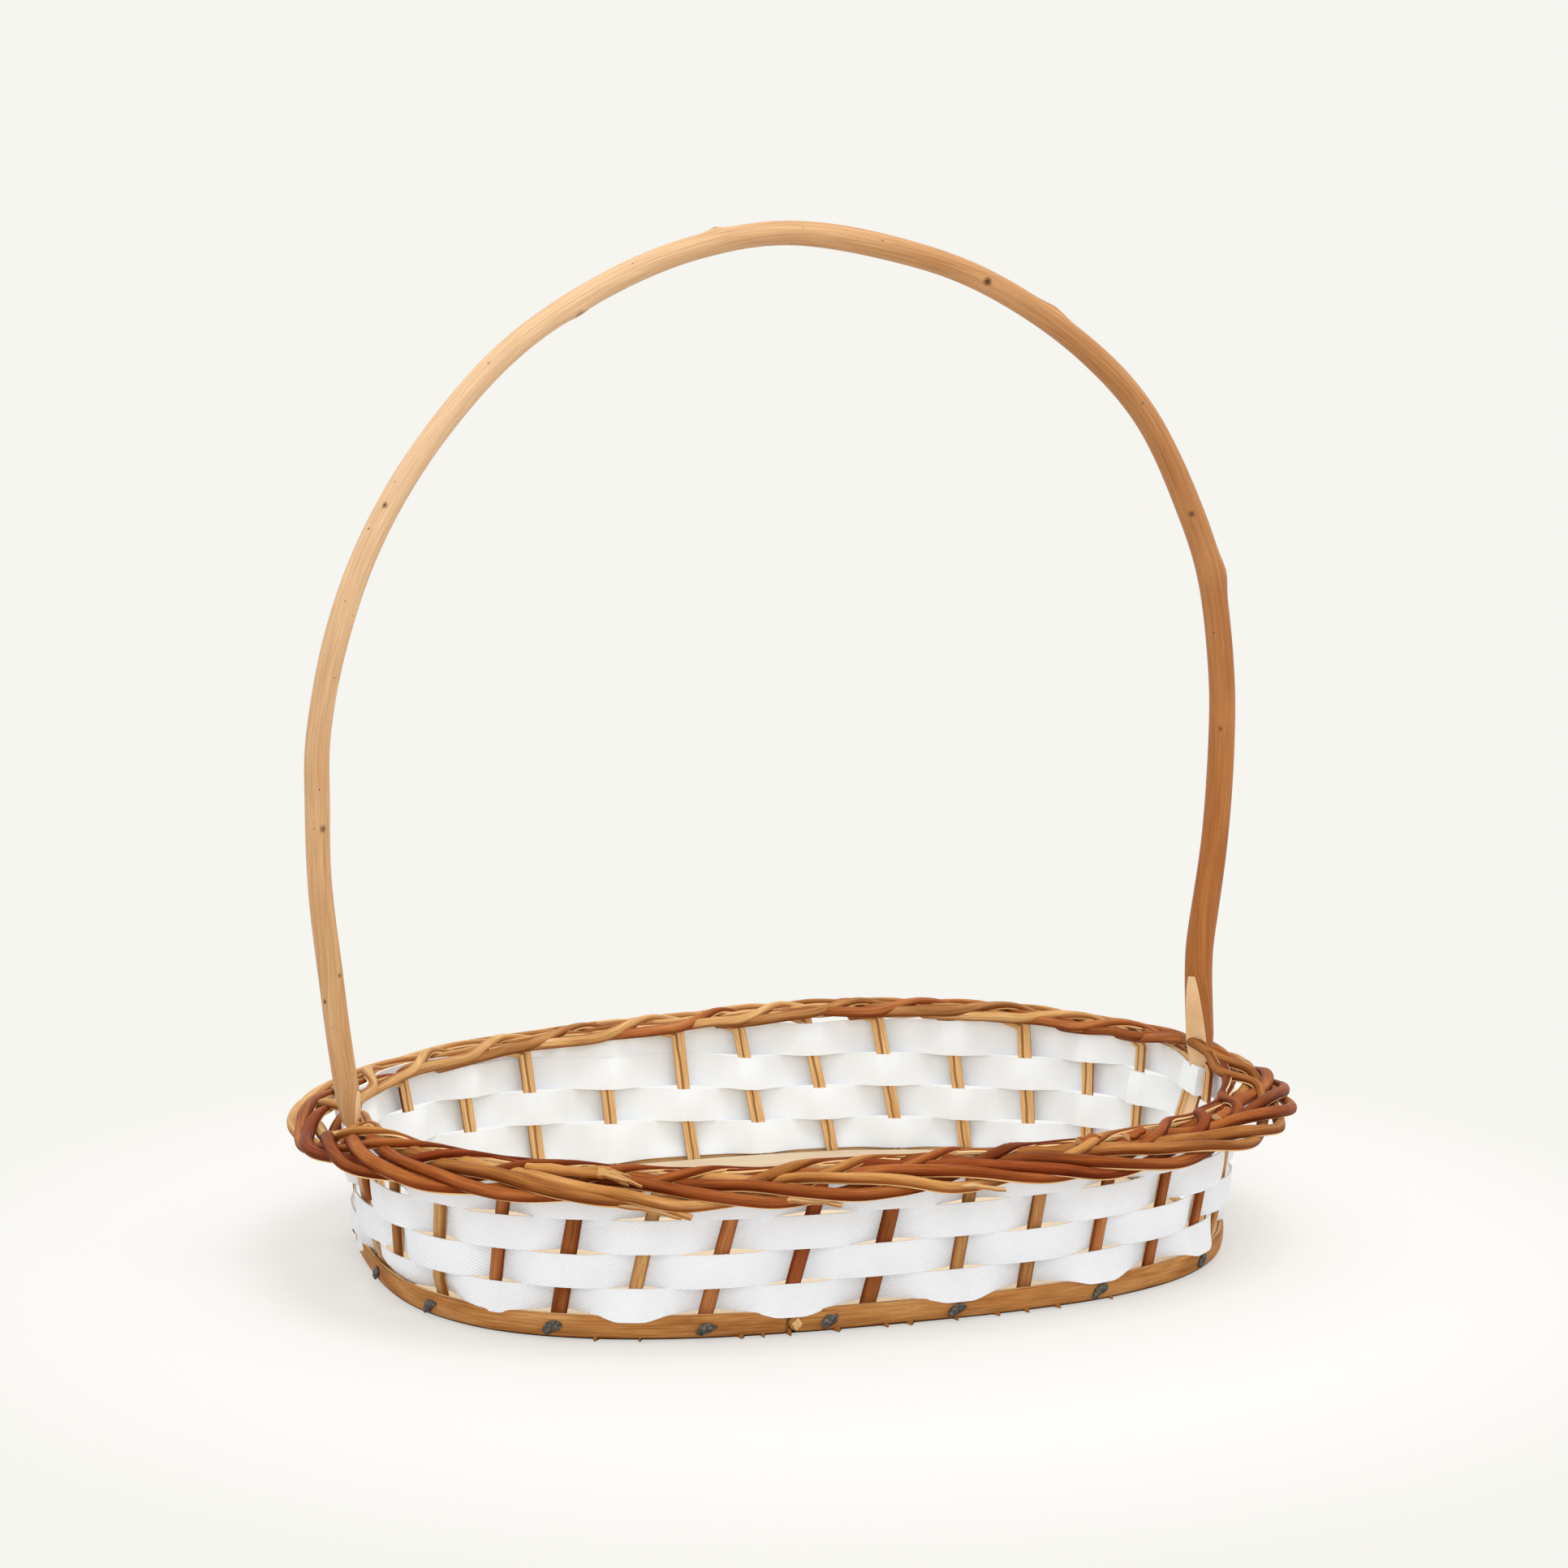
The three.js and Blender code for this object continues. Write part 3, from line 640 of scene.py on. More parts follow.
# The pale brush at the chewed tip, fanned out from the middle splinter
BRUSH_PLACE = LOOSE_ENDS[0][0] + 0.8
BRUSH_ACROSS = LOOSE_ENDS[0][1] + 3.0
BRUSH_RISE = LOOSE_ENDS[0][2] + 3.0
BRUSH_FAN = [-3.0, -1.5, 0.0, 1.5, 3.0]
BRUSH_TURN = 1.5
BRUSH_WIDTH = 3.0
BRUSH_TAPER = 0.25
for index, fan in enumerate(BRUSH_FAN):
    across, rise, turning = BRUSH_ACROSS + fan * 0.5, BRUSH_RISE - abs(fan) * 0.2, BRUSH_TURN + fan * 0.7
    dipping, length = 2.4 + chance.uniform(-0.8, 0.8), 12.0 + chance.uniform(-2.5, 2.5)
    measures = (BRUSH_PLACE, across, rise, turning, dipping, length, BRUSH_WIDTH)
    loose_end(f"willow_splinter_{index + 1}", *measures, "pale", BRUSH_TAPER)

# Tape: four rows of bleached cotton twill, about 13 mm wide, each one strip woven in front of one stake
# and behind the next. It is stiff enough to bulge outward between the stakes that it goes behind.
TAPE_WIDTH = 13.4
TAPE_THICKNESS = 0.7
TAPE_ROWS = 4
TAPE_PITCH = TAPE_WIDTH + CLEARANCE
TAPE_CREST = STAKE_THICKNESS / 2 + CLEARANCE + TAPE_THICKNESS / 2
TAPE_SPAN_STEPS = 14
TAPE_CREST_STEPS = 5
TAPE_ACROSS = 6
TAPE_HOLD = 1.2
TAPE_BULGES = [1.8, 1.8, 1.5, 0.3]
TAPE_CURL = 0.35
TAPE_WAVER = 0.28
TAPE_LEAN = 0.35
SKIRT_OUT = 4.6
SKIRT_DIP = 2.2
SKIRT_ROOM = 1.1
TAPE_LAPS = [RIGHT_FOOT, RIGHT_FOOT + 1, PLACES - 1, PLACES - 2]
TAPE_CHANGES = [25, 31, 32, 30]
# The edges of the rows from the top: height in front, height behind, and share taken of the slope
TAPE_EDGES = [(60.9, 64.0, 0.0), (47.2, 52.6, 1.0), (33.5, 37.6, 1.0), (19.8, 22.6, 1.0), (9.6, 5.0, 0.2)]
SLOPE_PLACES = [17.0, 19.0, 20.5, 22.0, 24.0, 25.0, 26.0, 27.5, 29.0, 30.5, 33.0]
SLOPES = [-1.0, -3.0, -5.4, -4.4, -3.6, -0.5, 0.8, 4.0, 6.6, 6.6, 1.0]


def tape_side(row, position):
    """1 where a row passes in front of a place, -1 behind. The places are odd in number, so each row
    once passes two neighbours on the same side, and its sides change over from there."""
    place = position % PLACES
    changed = 1 if place >= TAPE_CHANGES[row - 1] else 0
    return 1 if (place + row + changed) % 2 else -1


def tape_crest(row, position):
    """Where a row lies against one stake: the distances round the wall of its first and last touch."""
    top = WALL_HEIGHT - (row - 1) * TAPE_PITCH
    height = top - TAPE_WIDTH / 2
    hold = STAKE_WIDTH / 2 + TAPE_HOLD
    if position % PLACES not in FEET:
        middle = stake_distance(position, height)
        return middle - hold, middle + hold
    foot = foot_distance(position, height)
    last = foot + FOOT_WIDTH / 2
    if top > BYE_ROD_BOTTOM:
        last = bye_rod_distance(position, height) + STAKE_WIDTH / 2
    return foot - FOOT_WIDTH / 2 - TAPE_HOLD, last + TAPE_HOLD


def tape_line(row):
    """How far round and how far out a row runs, station by station, from its first end to its last."""
    lap = TAPE_LAPS[row - 1]
    last_place = lap + PLACES
    distances, outs, swells = [], [], []
    for position in range(lap, last_place + 1):
        side = tape_side(row, position)
        back = TAPE_THICKNESS + CLEARANCE if position == last_place else 0.0
        first, last = tape_crest(row, position)
        distances.extend(np.linspace(first, last, TAPE_CREST_STEPS))
        bulge = TAPE_BULGES[row - 1] if side > 0 and lap < position < last_place else 0.0
        outs.extend([TAPE_CREST * side + bulge - back] * TAPE_CREST_STEPS)
        swells.extend([max(side, 0.0)] * TAPE_CREST_STEPS)
        if position == last_place:
            break
        end = tape_crest(row, position + 1)[0]
        share = np.arange(1, TAPE_SPAN_STEPS) / TAPE_SPAN_STEPS
        distances.extend(last + (end - last) * share)
        if tape_side(row, position + 1) == side:
            outs.extend(outs[-1:] * len(share))
            swells.extend(swells[-1:] * len(share))
            continue
        swing = np.where(side > 0, 1 - share, share)
        bulge = TAPE_BULGES[row - 1] if lap < position + (side < 0) < last_place else 0.0
        level = TAPE_CREST + bulge
        outs.extend(-TAPE_CREST + (TAPE_CREST + level) * (1 - (1 - swing) ** 2.2) ** 1.15)
        swells.extend(smooth(swing))
    return np.array(distances), np.array(outs), np.array(swells)


def cotton_finish(name, twill, tint):
    """Bleached cotton, with the slanting lines of its twill as strong as twill says."""
    finish, tree = fresh_finish(name, 0.9, 0.15, sheen=0.15)
    place = grain_place(tree)
    twill_turn = (0, 0, radians(28))
    slanted = node(tree, "Mapping", {"Vector": place, "Rotation": twill_turn})
    waves = {"bands_direction": "X", "wave_profile": "SIN", "wave_type": "BANDS"}
    sockets = {"Vector": slanted, "Scale": 285.0, "Distortion": 0.6, "Detail": 1.0, "Detail Scale": 2.0}
    ribs = node(tree, "TexWave", sockets, "Fac", **waves)
    threads = cloud(tree, place, 0.00035, 0.00035)
    soil = cloud(tree, place, 0.03, 0.018, detail=3.0)
    white = ramp(tree, soil, [(0.3, [channel - 6 for channel in tint]), (0.6, tint)])
    lines = ramp(tree, ribs, [(0.0, [255 - 9 * twill] * 3), (0.5, (255, 255, 255))])
    cotton = blend_colours(tree, 1.0, white, lines, "MULTIPLY")
    return finished(finish, cotton, blend_colours(tree, 0.3, ribs, threads), 0.00002 + 0.00012 * twill)


# Painted light: the inner faces get a copy without twill, paler and bluer than the outer faces, standing in
# for light the inside lacks
cotton = cotton_finish("cotton_twill", 1.0, (235, 238, 241))
inner_cotton_painted_light = cotton_finish("cotton_inner_painted_light", 0.0, (240, 248, 255))
for row in range(1, TAPE_ROWS + 1):
    distances, outs, swells = tape_line(row)
    chance = random.Random(60 + row)
    share = (distances - distances[0]) / GIRTH
    waver = wander(share, TAPE_WAVER, chance, 9)
    lean = wander(share, TAPE_LEAN, chance, 12)
    angles = angle_at(distances)
    # The lowest row hangs loose over the hoop along the front. It is tucked in behind and at both ends
    behind = smooth(0.5 + 1.2 * np.sin(angles))
    tucked = smooth(np.where(np.cos(angles) > 0, 0.5 + 3 * np.sin(angles), 1.2 * np.sin(angles) - 0.1))
    corner = np.clip(-np.cos(angles), 0, 1) ** ENDS_ONLY * smooth(-8 * np.sin(angles))
    loose = (1 - tucked) * np.clip(1 - 1.2 * corner, 0, 1)
    slope = np.interp((distances / PITCH) % PLACES, SLOPE_PLACES, SLOPES, left=0.0)
    edges = TAPE_EDGES[row - 1 : row + 1]
    upper, lower = (near + (far + slope * part - near) * behind for near, far, part in edges)
    across = np.linspace(0, 1, TAPE_ACROSS)
    outer, inner = [], []
    for step in across:
        curl = TAPE_CURL * (2 * step - 1) ** 2 * np.sign(outs) * np.minimum(np.abs(outs) / TAPE_CREST, 1)
        height = lower + CLEARANCE + (upper - lower - CLEARANCE) * step + waver
        out = outs + lean * (step - 0.5) - curl
        if row == TAPE_ROWS:
            flared = swells * loose * (1 - step) ** 2
            out = out + SKIRT_OUT * flared
            height = height - SKIRT_DIP * flared * swells**3
            out = out + (np.minimum(out, SKIRT_ROOM) - out) * tucked * (1 - smooth(step * 2.2))
        outer.append(wall_point(angles, height, out + TAPE_THICKNESS / 2))
        inner.append(wall_point(angles, height, out - TAPE_THICKNESS / 2))
    rings = np.stack(outer + inner[::-1], axis=1)
    width = across * TAPE_WIDTH * MM
    edge = TAPE_THICKNESS * MM
    around = np.concatenate([width, width[-1] + edge + width, [2 * (width[-1] + edge)]])
    sides = [0] * TAPE_ACROSS + [1] * TAPE_ACROSS
    finishes = [cotton, inner_cotton_painted_light]
    tape = skin(f"cotton_tape_{row}", rings, around, distances * MM, finishes, sides, crease=50.0)
    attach(tape, "root")
    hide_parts(f"tape_row_{row}")

# Hoop: one split willow rod, bent round the feet of the stakes and lapped at the front, where the tip
# of the outer end was cut to a blunt point. Its back is trimmed at the top to let the lowest tape in.
HOOP_BOTTOM = 0.3
HOOP_TOP = 9.7
HOOP_OUTER = HOOP_INNER + HOOP_THICKNESS
HOOP_TUCK = TAPE_CREST + TAPE_THICKNESS / 2 + 2 * CLEARANCE
HOOP_TUCK_HEIGHT = WALL_HEIGHT - (TAPE_ROWS - 1) * TAPE_PITCH - TAPE_WIDTH - CLEARANCE
HOOP_JOINT = 7.0
HOOP_SCARF_PITCHES = 1.5
HOOP_TIP = 1.8
HOOP_WANDER = 0.35
HOOP_STEPS = 8
SCARF_STEPS = 10
TIP_STEPS = 7
TIP_LENGTH = 0.2
TIP_NARROWEST = 0.12
HOOP_MIDDLE = (HOOP_BOTTOM + HOOP_TOP) / 2
HOOP_ROUNDING = 0.42 * HOOP_THICKNESS
HOOP_FACE_STEPS = 12
hoop_turns = np.linspace(-pi / 2, pi / 2, HOOP_FACE_STEPS + 1)
hoop_outs = HOOP_OUTER - HOOP_ROUNDING * (1 - np.cos(hoop_turns) ** 0.75)
hoop_heights = HOOP_MIDDLE + (HOOP_TOP - HOOP_BOTTOM) / 2 * np.sin(hoop_turns)
hoop_back = [
    (HOOP_TUCK + 0.2, HOOP_TOP),
    (HOOP_TUCK, HOOP_TOP - 0.3),
    (HOOP_TUCK, HOOP_TUCK_HEIGHT),
    (HOOP_INNER, HOOP_TUCK_HEIGHT - (HOOP_TUCK - HOOP_INNER)),
    (HOOP_INNER, HOOP_BOTTOM),
]
hoop_section = np.concatenate([np.stack([hoop_outs, hoop_heights], axis=1), hoop_back])


def hoop_rings():
    """Rings of the hoop, with the distance of each: the outer end first, the end under it last."""
    scarf = HOOP_SCARF_PITCHES
    rings, distances = [], []

    def parting(step):
        """How far out the slanting joint between the two ends lies."""
        return HOOP_OUTER - HOOP_TIP + (HOOP_INNER + 2 * HOOP_TIP - HOOP_OUTER) * step / scarf

    def add(step, least, most, close=1.0, beyond=0.0):
        outs, heights = hoop_section.T
        heights = HOOP_MIDDLE + (heights - HOOP_MIDDLE) * close
        distance = stake_distance(HOOP_JOINT + step, HOOP_TOP) + beyond
        rings.append(wall_point(angle_at(distance), heights, np.clip(outs, least, most)))
        distances.append(distance)

    for share in np.linspace(0, 1, TIP_STEPS):
        step = TIP_LENGTH * share
        close = sqrt(max(0.0, 1 - (1 - share) ** 2.4)) * (1 - TIP_NARROWEST) + TIP_NARROWEST
        add(step, parting(step) + CLEARANCE / 2, HOOP_OUTER - 0.5 * (1 - share), close)
    for step in np.linspace(TIP_LENGTH + 0.07, scarf, SCARF_STEPS):
        add(step, parting(step) + CLEARANCE / 2, HOOP_OUTER)
    add(scarf, HOOP_INNER, HOOP_OUTER, beyond=0.6)
    for step in np.linspace(scarf + 0.08, PLACES - 0.04, PLACES * HOOP_STEPS):
        add(step, HOOP_INNER, HOOP_OUTER)
    add(PLACES, HOOP_INNER, parting(0) - CLEARANCE / 2, beyond=-0.5)
    for step in np.linspace(0.04, scarf, SCARF_STEPS):
        add(PLACES + step, HOOP_INNER, parting(step) - CLEARANCE / 2)
    return np.stack(rings), np.array(distances)


HOOP_TONES = [(146, 90, 42), (188, 130, 72), (214, 164, 106)]
HOOP_PATCH = [0] * HOOP_FACE_STEPS + [1] * (len(hoop_back) + 1)
# Painted shade: a dark band along the lower edge of the hoop's bark, where it meets the floor
hoop_bark = bark_finish("bark_hoop", HOOP_TONES, 0.008, (0.0060, 0.0067), (92, 64, 44))
rings, distances = hoop_rings()
chance = random.Random(11)
share = (distances - distances[0]) / GIRTH
rings[:, :, 2] += (wander(share, HOOP_WANDER, chance, 14) * np.sin(pi * np.clip(share, 0, 1)))[:, None]
around = lengths_round(hoop_section)
hoop = skin("willow_hoop", rings, around, distances * MM, [hoop_bark, split_wood], HOOP_PATCH, (1, 1))
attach(hoop, "root")
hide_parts("floor_hoop")


def chip(name, distance, height, outline, steps, finish):
    """A small chip of wood on the hoop. Each step is how far out it is and the share of the outline."""
    rings = []
    for out, size in steps:
        across, rise = np.transpose(outline) * size
        rings.append(wall_point(angle_at(distance + across), height + rise, HOOP_OUTER + out))
    piece = skin(name, np.stack(rings), np.arange(5) * MM, np.arange(3) * MM, [finish])
    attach(piece, "root")


# The slanting cut that ends the outer lap shows as a pale lozenge of bare wood, just right of the joint
LOZENGE_DISTANCE = stake_distance(HOOP_JOINT, HOOP_TOP) + 3.2
LOZENGE_HEIGHT = HOOP_MIDDLE - 0.6
LOZENGE_OUTLINE = [(-2.1, 0.0), (0.0, -2.8), (2.1, 0.0), (0.0, 2.8)]
LOZENGE_STEPS = [(-0.5, 1.0), (0.42, 1.0), (0.7, 0.8)]
chip("hoop_cut_end", LOZENGE_DISTANCE, LOZENGE_HEIGHT, LOZENGE_OUTLINE, LOZENGE_STEPS, split_wood)

# Where the hoop was split its lower edge tore, and small splinters stand out from it along the front.
# Each: place round the wall, length outward and width
HOOP_SPLINTERS = [
    (4.55, 1.2, 1.6), (5.1, 1.2, 1.0), (6.35, 1.3, 1.8), (6.62, 1.3, 1.2), (6.95, 1.7, 1.3),
    (7.55, 1.4, 2.3), (8.15, 1.5, 1.4), (8.42, 1.3, 2.1), (9.0, 1.4, 1.3), (9.55, 1.2, 1.8),
    (9.95, 1.5, 1.4), (10.4, 1.2, 2.0), (11.2, 1.2, 1.2),
]
SPLINTER_SHAPE = np.array([(-0.5, 0.0), (0.5, 0.0), (0.3, 1.0), (-0.4, 1.0)])
SPLINTER_HEIGHT = 1.2
SPLINTER_ROOT = 1.6
for index, (place, length, width) in enumerate(HOOP_SPLINTERS):
    outline = SPLINTER_SHAPE * [width, SPLINTER_HEIGHT]
    steps = [(-SPLINTER_ROOT, 1.8), ((length - SPLINTER_ROOT) / 2, 1.0), (length, 0.4)]
    chip(f"hoop_splinter_{index + 1:02d}", place * PITCH, HOOP_BOTTOM, outline, steps, hoop_bark)

# Nails: small iron nails through the hoop and every other stake into the edge of the floor board. Their
# heads were hammered flat and slanting, so each is a crushed dark lump with ragged edges.
NAIL_LENGTH = 8.4
NAIL_WIDTH = 4.6
NAIL_SLANT = radians(28)
NAIL_SLANT_SPREAD = 0.12
NAIL_SIDES = 14
NAIL_EDGES = (0.74, 1.12)
NAIL_BOWS = (0.4, 1.0)
NAIL_DENT = 0.12
# The rings of a head: how far out from the hoop, and the share of the head's length and width
NAIL_RINGS = [(0.2, 0.98), (0.75, 1.02), (1.15, 0.84), (1.7, 0.42)]


def iron_finish():
    finish, tree = fresh_finish("hammered_iron", 0.48, metallic=0.6)
    dents = cloud(tree, object_place(tree), 0.0012, 0.0012, 0.0012, detail=4.0, rough=0.65)
    iron = ramp(tree, dents, [(0.35, (48, 44, 40)), (0.55, (96, 92, 84)), (0.72, (140, 134, 122))])
    return finished(finish, iron, dents, 0.0006)


iron = iron_finish()
chance = random.Random(5)
JOINT_NAIL = HOOP_JOINT + 0.5
nail_places = [0, 2, 4, 6, JOINT_NAIL] + list(range(9, PLACES, 2))
for index, position in enumerate(nail_places):
    distance_at = foot_distance if position in FEET else stake_distance
    angle = angle_at(distance_at(position, HOOP_MIDDLE))
    normal = outward(angle)
    level = np.cross(UP, normal)
    slant = NAIL_SLANT + chance.uniform(-NAIL_SLANT_SPREAD, NAIL_SLANT_SPREAD)
    long = level * cos(slant) + UP * sin(slant)
    short = np.cross(normal, long)
    turns = np.linspace(0, 2 * pi, NAIL_SIDES, endpoint=False)
    ragged = np.array([chance.uniform(*NAIL_EDGES) for _ in turns])
    bow = chance.uniform(*NAIL_BOWS)
    rings = []
    for out, share in NAIL_RINGS:
        centre = wall_point(angle, HOOP_MIDDLE, HOOP_OUTER + out)
        lift = np.array([chance.uniform(-NAIL_DENT, NAIL_DENT) for _ in turns])
        along = NAIL_LENGTH / 2 * share * ragged * np.cos(turns)
        across = NAIL_WIDTH / 2 * share * ragged * np.sin(turns) - bow * np.cos(turns) ** 2
        rings.append(centre + long * along[:, None] + short * across[:, None] + normal * lift[:, None])
    rim = np.append(turns, 2 * pi) * NAIL_WIDTH / 2 * MM
    nail = skin(f"nail_head_{index + 1:02d}", np.stack(rings), rim, np.arange(4) * MM, [iron])
    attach(nail, "root")
    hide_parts(f"hoop_nail_{2 * index:02d}")

# Handle: one whole willow rod in its bark, bent into a tall arch. Its ends are shaved to flat feet, which
# go down through the inner edge of the border and are woven into the wall as stakes.
ARCH_HEIGHT = 416.0
ARCH_HALF_SPAN = 195.5
LEFT_DIAMETER = 9.8
RIGHT_DIAMETER = 11.8
ROUND_SIDES = 30
CUT_SIDES = 10
HANDLE_SIDES = ROUND_SIDES + CUT_SIDES
LEAST_CUT = 0.1
ARCH_STEPS = 220
KNOT_REACH = 3.4
KNOT_STRETCH = 160.0
KNOT_SCAR_SHARE = 0.06
FOOT_TOP = 47.0
FOOT_STEPS = 44
FOOT_SWELL_SPAN = 0.42
HANDLE_WANDER = 0.035
# The slice shaved off above each foot, left and right: where it starts, and the way that it faces
SCARF_TOPS = (76.0, 102.0)
SCARF_DEPTH = 0.98
SCARF_CURVE = 0.9
SCARF_TURN = radians(34)
TURN_START_SPAN = 12.0
TURN_END = 140.0
TURN_END_SPAN = 40.0
FOOT_HEIGHTS = np.array([2.0, 12.0, 22.0, 32.0, 40.0, FOOT_TOP])
TONGUE_SHARE = 0.2
FLAT_TOP = 62.0
FLAT_SPAN = 20.0
FLATNESS = 0.45
# The arch, from the left foot to the right: shares of its half span and of its height
ARCH_SHARES = [
    (-0.974, 0.273), (-0.998, 0.385), (-1.0, 0.4615), (-0.996, 0.524), (-0.957, 0.616), (-0.885, 0.707),
    (-0.767, 0.798), (-0.591, 0.889), (-0.39, 0.95), (-0.2, 0.9855), (0.0, 1.0), (0.257, 0.982),
    (0.447, 0.951), (0.663, 0.887), (0.8, 0.822), (0.9125, 0.7226), (0.962, 0.656), (0.992, 0.5555),
    (0.995, 0.488), (0.983, 0.387), (0.954, 0.286),
]


def spline(knots, steps):
    """Points evenly spaced along a smooth curve through the knots."""
    knots = np.array(knots, float)
    chords = np.linalg.norm(np.diff(knots, axis=0), axis=1) ** 0.5
    times = np.concatenate([[0.0], np.cumsum(chords)])
    slopes = np.gradient(knots, times, axis=0)
    fine = np.linspace(0, times[-1], steps * 8)
    span = np.clip(np.searchsorted(times, fine) - 1, 0, len(times) - 2)
    width = (times[span + 1] - times[span])[:, None]
    part = (fine[:, None] - times[span][:, None]) / width
    points = (
        (2 * part**3 - 3 * part**2 + 1) * knots[span]
        + (part**3 - 2 * part**2 + part) * slopes[span] * width
        + (3 * part**2 - 2 * part**3) * knots[span + 1]
        + (part**3 - part**2) * slopes[span + 1] * width
    )
    gone = lengths_along(points)
    even = np.linspace(0, gone[-1], steps)
    return np.stack([np.interp(even, gone, points[:, axis]) for axis in range(3)], axis=1)


def foot_line(position, arch_end, arch_way, leaning, diameter):
    """A foot, from its end on the floor up to the arch: points, ways out, widths and thicknesses."""
    angles = angle_at(foot_distance(position, FOOT_HEIGHTS))
    wall, wall_ways = wall_point(angles, FOOT_HEIGHTS), outward(angles)
    reach = (arch_end[2] - FOOT_TOP) / 3
    rising = unit(wall[-1] - wall[-2])
    knots = [wall[-1], wall[-1] + rising * reach, arch_end - leaning * reach / leaning[2], arch_end]
    shares = np.arange(1, FOOT_STEPS) / FOOT_STEPS
    points = np.concatenate([wall, bezier(knots, shares)])
    ways = unit(wall_ways[-1] * (1 - shares[:, None]) + arch_way * shares[:, None])
    swell = np.concatenate([np.zeros(len(FOOT_HEIGHTS)), smooth(shares / FOOT_SWELL_SPAN)])
    widths = FOOT_WIDTH + (diameter - FOOT_WIDTH) * swell
    thicknesses = STAKE_THICKNESS + (diameter - STAKE_THICKNESS) * swell
    return points, np.concatenate([wall_ways, ways]), widths, thicknesses


arch = spline([(x * ARCH_HALF_SPAN, 0.0, z * ARCH_HEIGHT) for x, z in ARCH_SHARES], ARCH_STEPS)
arch_share = np.linspace(0, 1, ARCH_STEPS)
arch_along = unit(np.gradient(arch, axis=0))
arch_ways = np.stack([-arch_along[:, 2], np.zeros(ARCH_STEPS), arch_along[:, 0]], axis=1)
arch_width = LEFT_DIAMETER + (RIGHT_DIAMETER - LEFT_DIAMETER) * smooth(2 * arch_share - 1)
chance = random.Random(3)
arch_width = arch_width * (1 + wander(arch_share, HANDLE_WANDER, chance, 8))
# Knots and scars: share of the way along the arch, turn from the front over the top in degrees,
# half length along the rod, height of the swelling, and how dark the scar is
KNOTS = [
    (0.381, -55, 5.0, 0.9, 0.5),
    (0.461, 92, 3.4, 1.3, 0.4),
    (0.604, -5, 3.2, 0.7, 1.0),
    (0.644, 88, 6.0, 1.2, 0.3),
    (0.2456, 28, 2.0, 0.3, 0.9),
    (0.774, -21, 2.2, 0.3, 0.9),
    (0.8095, 72, 7.0, 1.3, 0.2),
    (0.0852, -16, 2.4, 0.3, 0.8),
    (0.0, 30, 1.6, 0.2, 1.0),
    (0.012, -48, 1.6, 0.2, 0.9),
    (0.33, 35, 1.2, 0.1, 0.5),
    (0.545, 20, 1.2, 0.1, 0.6),
    (0.71, 5, 1.4, 0.1, 0.6),
    (0.89, -30, 1.6, 0.2, 0.7),
]

left = foot_line(LEFT_FOOT, arch[0], arch_ways[0], arch_along[0], arch_width[0])
right = foot_line(RIGHT_FOOT, arch[-1], arch_ways[-1], -arch_along[-1], arch_width[-1])
runs = [left, (arch, arch_ways, arch_width, arch_width), tuple(part[::-1] for part in right)]
points, ways, widths, thicknesses = (np.concatenate([run[part] for run in runs]) for part in range(4))
along, sides, ways = frames_along(points, ways)
# Towards each foot a long slice is shaved off the inner face, down to the flat tongue in the wall
scarf_tops = np.where(points[:, 0] < 0, *SCARF_TOPS)
shaved = np.clip((scarf_tops - points[:, 2]) / (scarf_tops - FOOT_TOP), 0, 1)
kept = np.where(shaved > 0, (1 - shaved) ** SCARF_CURVE * SCARF_DEPTH, 1.0)
kept = np.where(shaved >= 1, TONGUE_SHARE, np.maximum(kept, TONGUE_SHARE))
cut_angle = np.maximum(np.arccos(np.clip(kept, 0, 1)), LEAST_CUT)[:, None]
round_share = np.arange(ROUND_SIDES + 1)[None, :] / ROUND_SIDES
cut_share = np.arange(1, CUT_SIDES)[None, :] / CUT_SIDES
turned = smooth((points[:, 2] - FOOT_TOP) / TURN_START_SPAN)
scarf_turn = SCARF_TURN * turned * smooth((TURN_END - points[:, 2]) / TURN_END_SPAN)
round_turns = scarf_turn[:, None] - pi / 2 + cut_angle + (2 * pi - 2 * cut_angle) * round_share
flat = np.clip((FLAT_TOP - points[:, 2]) / FLAT_SPAN, 0, 1)[:, None]
power = 1 - FLATNESS * flat
level = powered(np.cos(round_turns), power)
depth = powered(np.sin(round_turns), power)
level = np.concatenate([level, level[:, -1:] + (level[:, :1] - level[:, -1:]) * cut_share], axis=1)
bulge = (1 - np.cos(cut_angle)) * (shaved[:, None] <= 0) * np.sin(pi * cut_share)
depth = np.concatenate([depth, depth[:, -1:] + (depth[:, :1] - depth[:, -1:]) * cut_share - bulge], axis=1)
lengths = lengths_along(points) * MM
knot_lengths = np.interp([knot[0] for knot in KNOTS], arch_share, lengths[len(left[0]) :][:ARCH_STEPS])
swelling = np.ones_like(level)
for (_, turn, half_length, height, _), at in zip(KNOTS, knot_lengths):
    around = np.angle(np.exp(1j * (np.arctan2(depth, level) - radians(turn)))) * LEFT_DIAMETER / 2
    apart = ((lengths[:, None] - at) / MM / half_length) ** 2 + (around / KNOT_REACH) ** 2
    swelling = swelling + height / LEFT_DIAMETER * 2 * np.exp(-apart)
across = level * swelling * widths[:, None] / 2
through = depth * swelling * thicknesses[:, None] / 2
rings = points[:, None] + sides[:, None] * across[:, :, None] + ways[:, None] * through[:, :, None]
whole = round_turns[len(left[0]) + ARCH_STEPS // 2]
turns = np.concatenate([whole, whole[-1] + (whole[0] + 2 * pi - whole[-1]) * cut_share[0]])


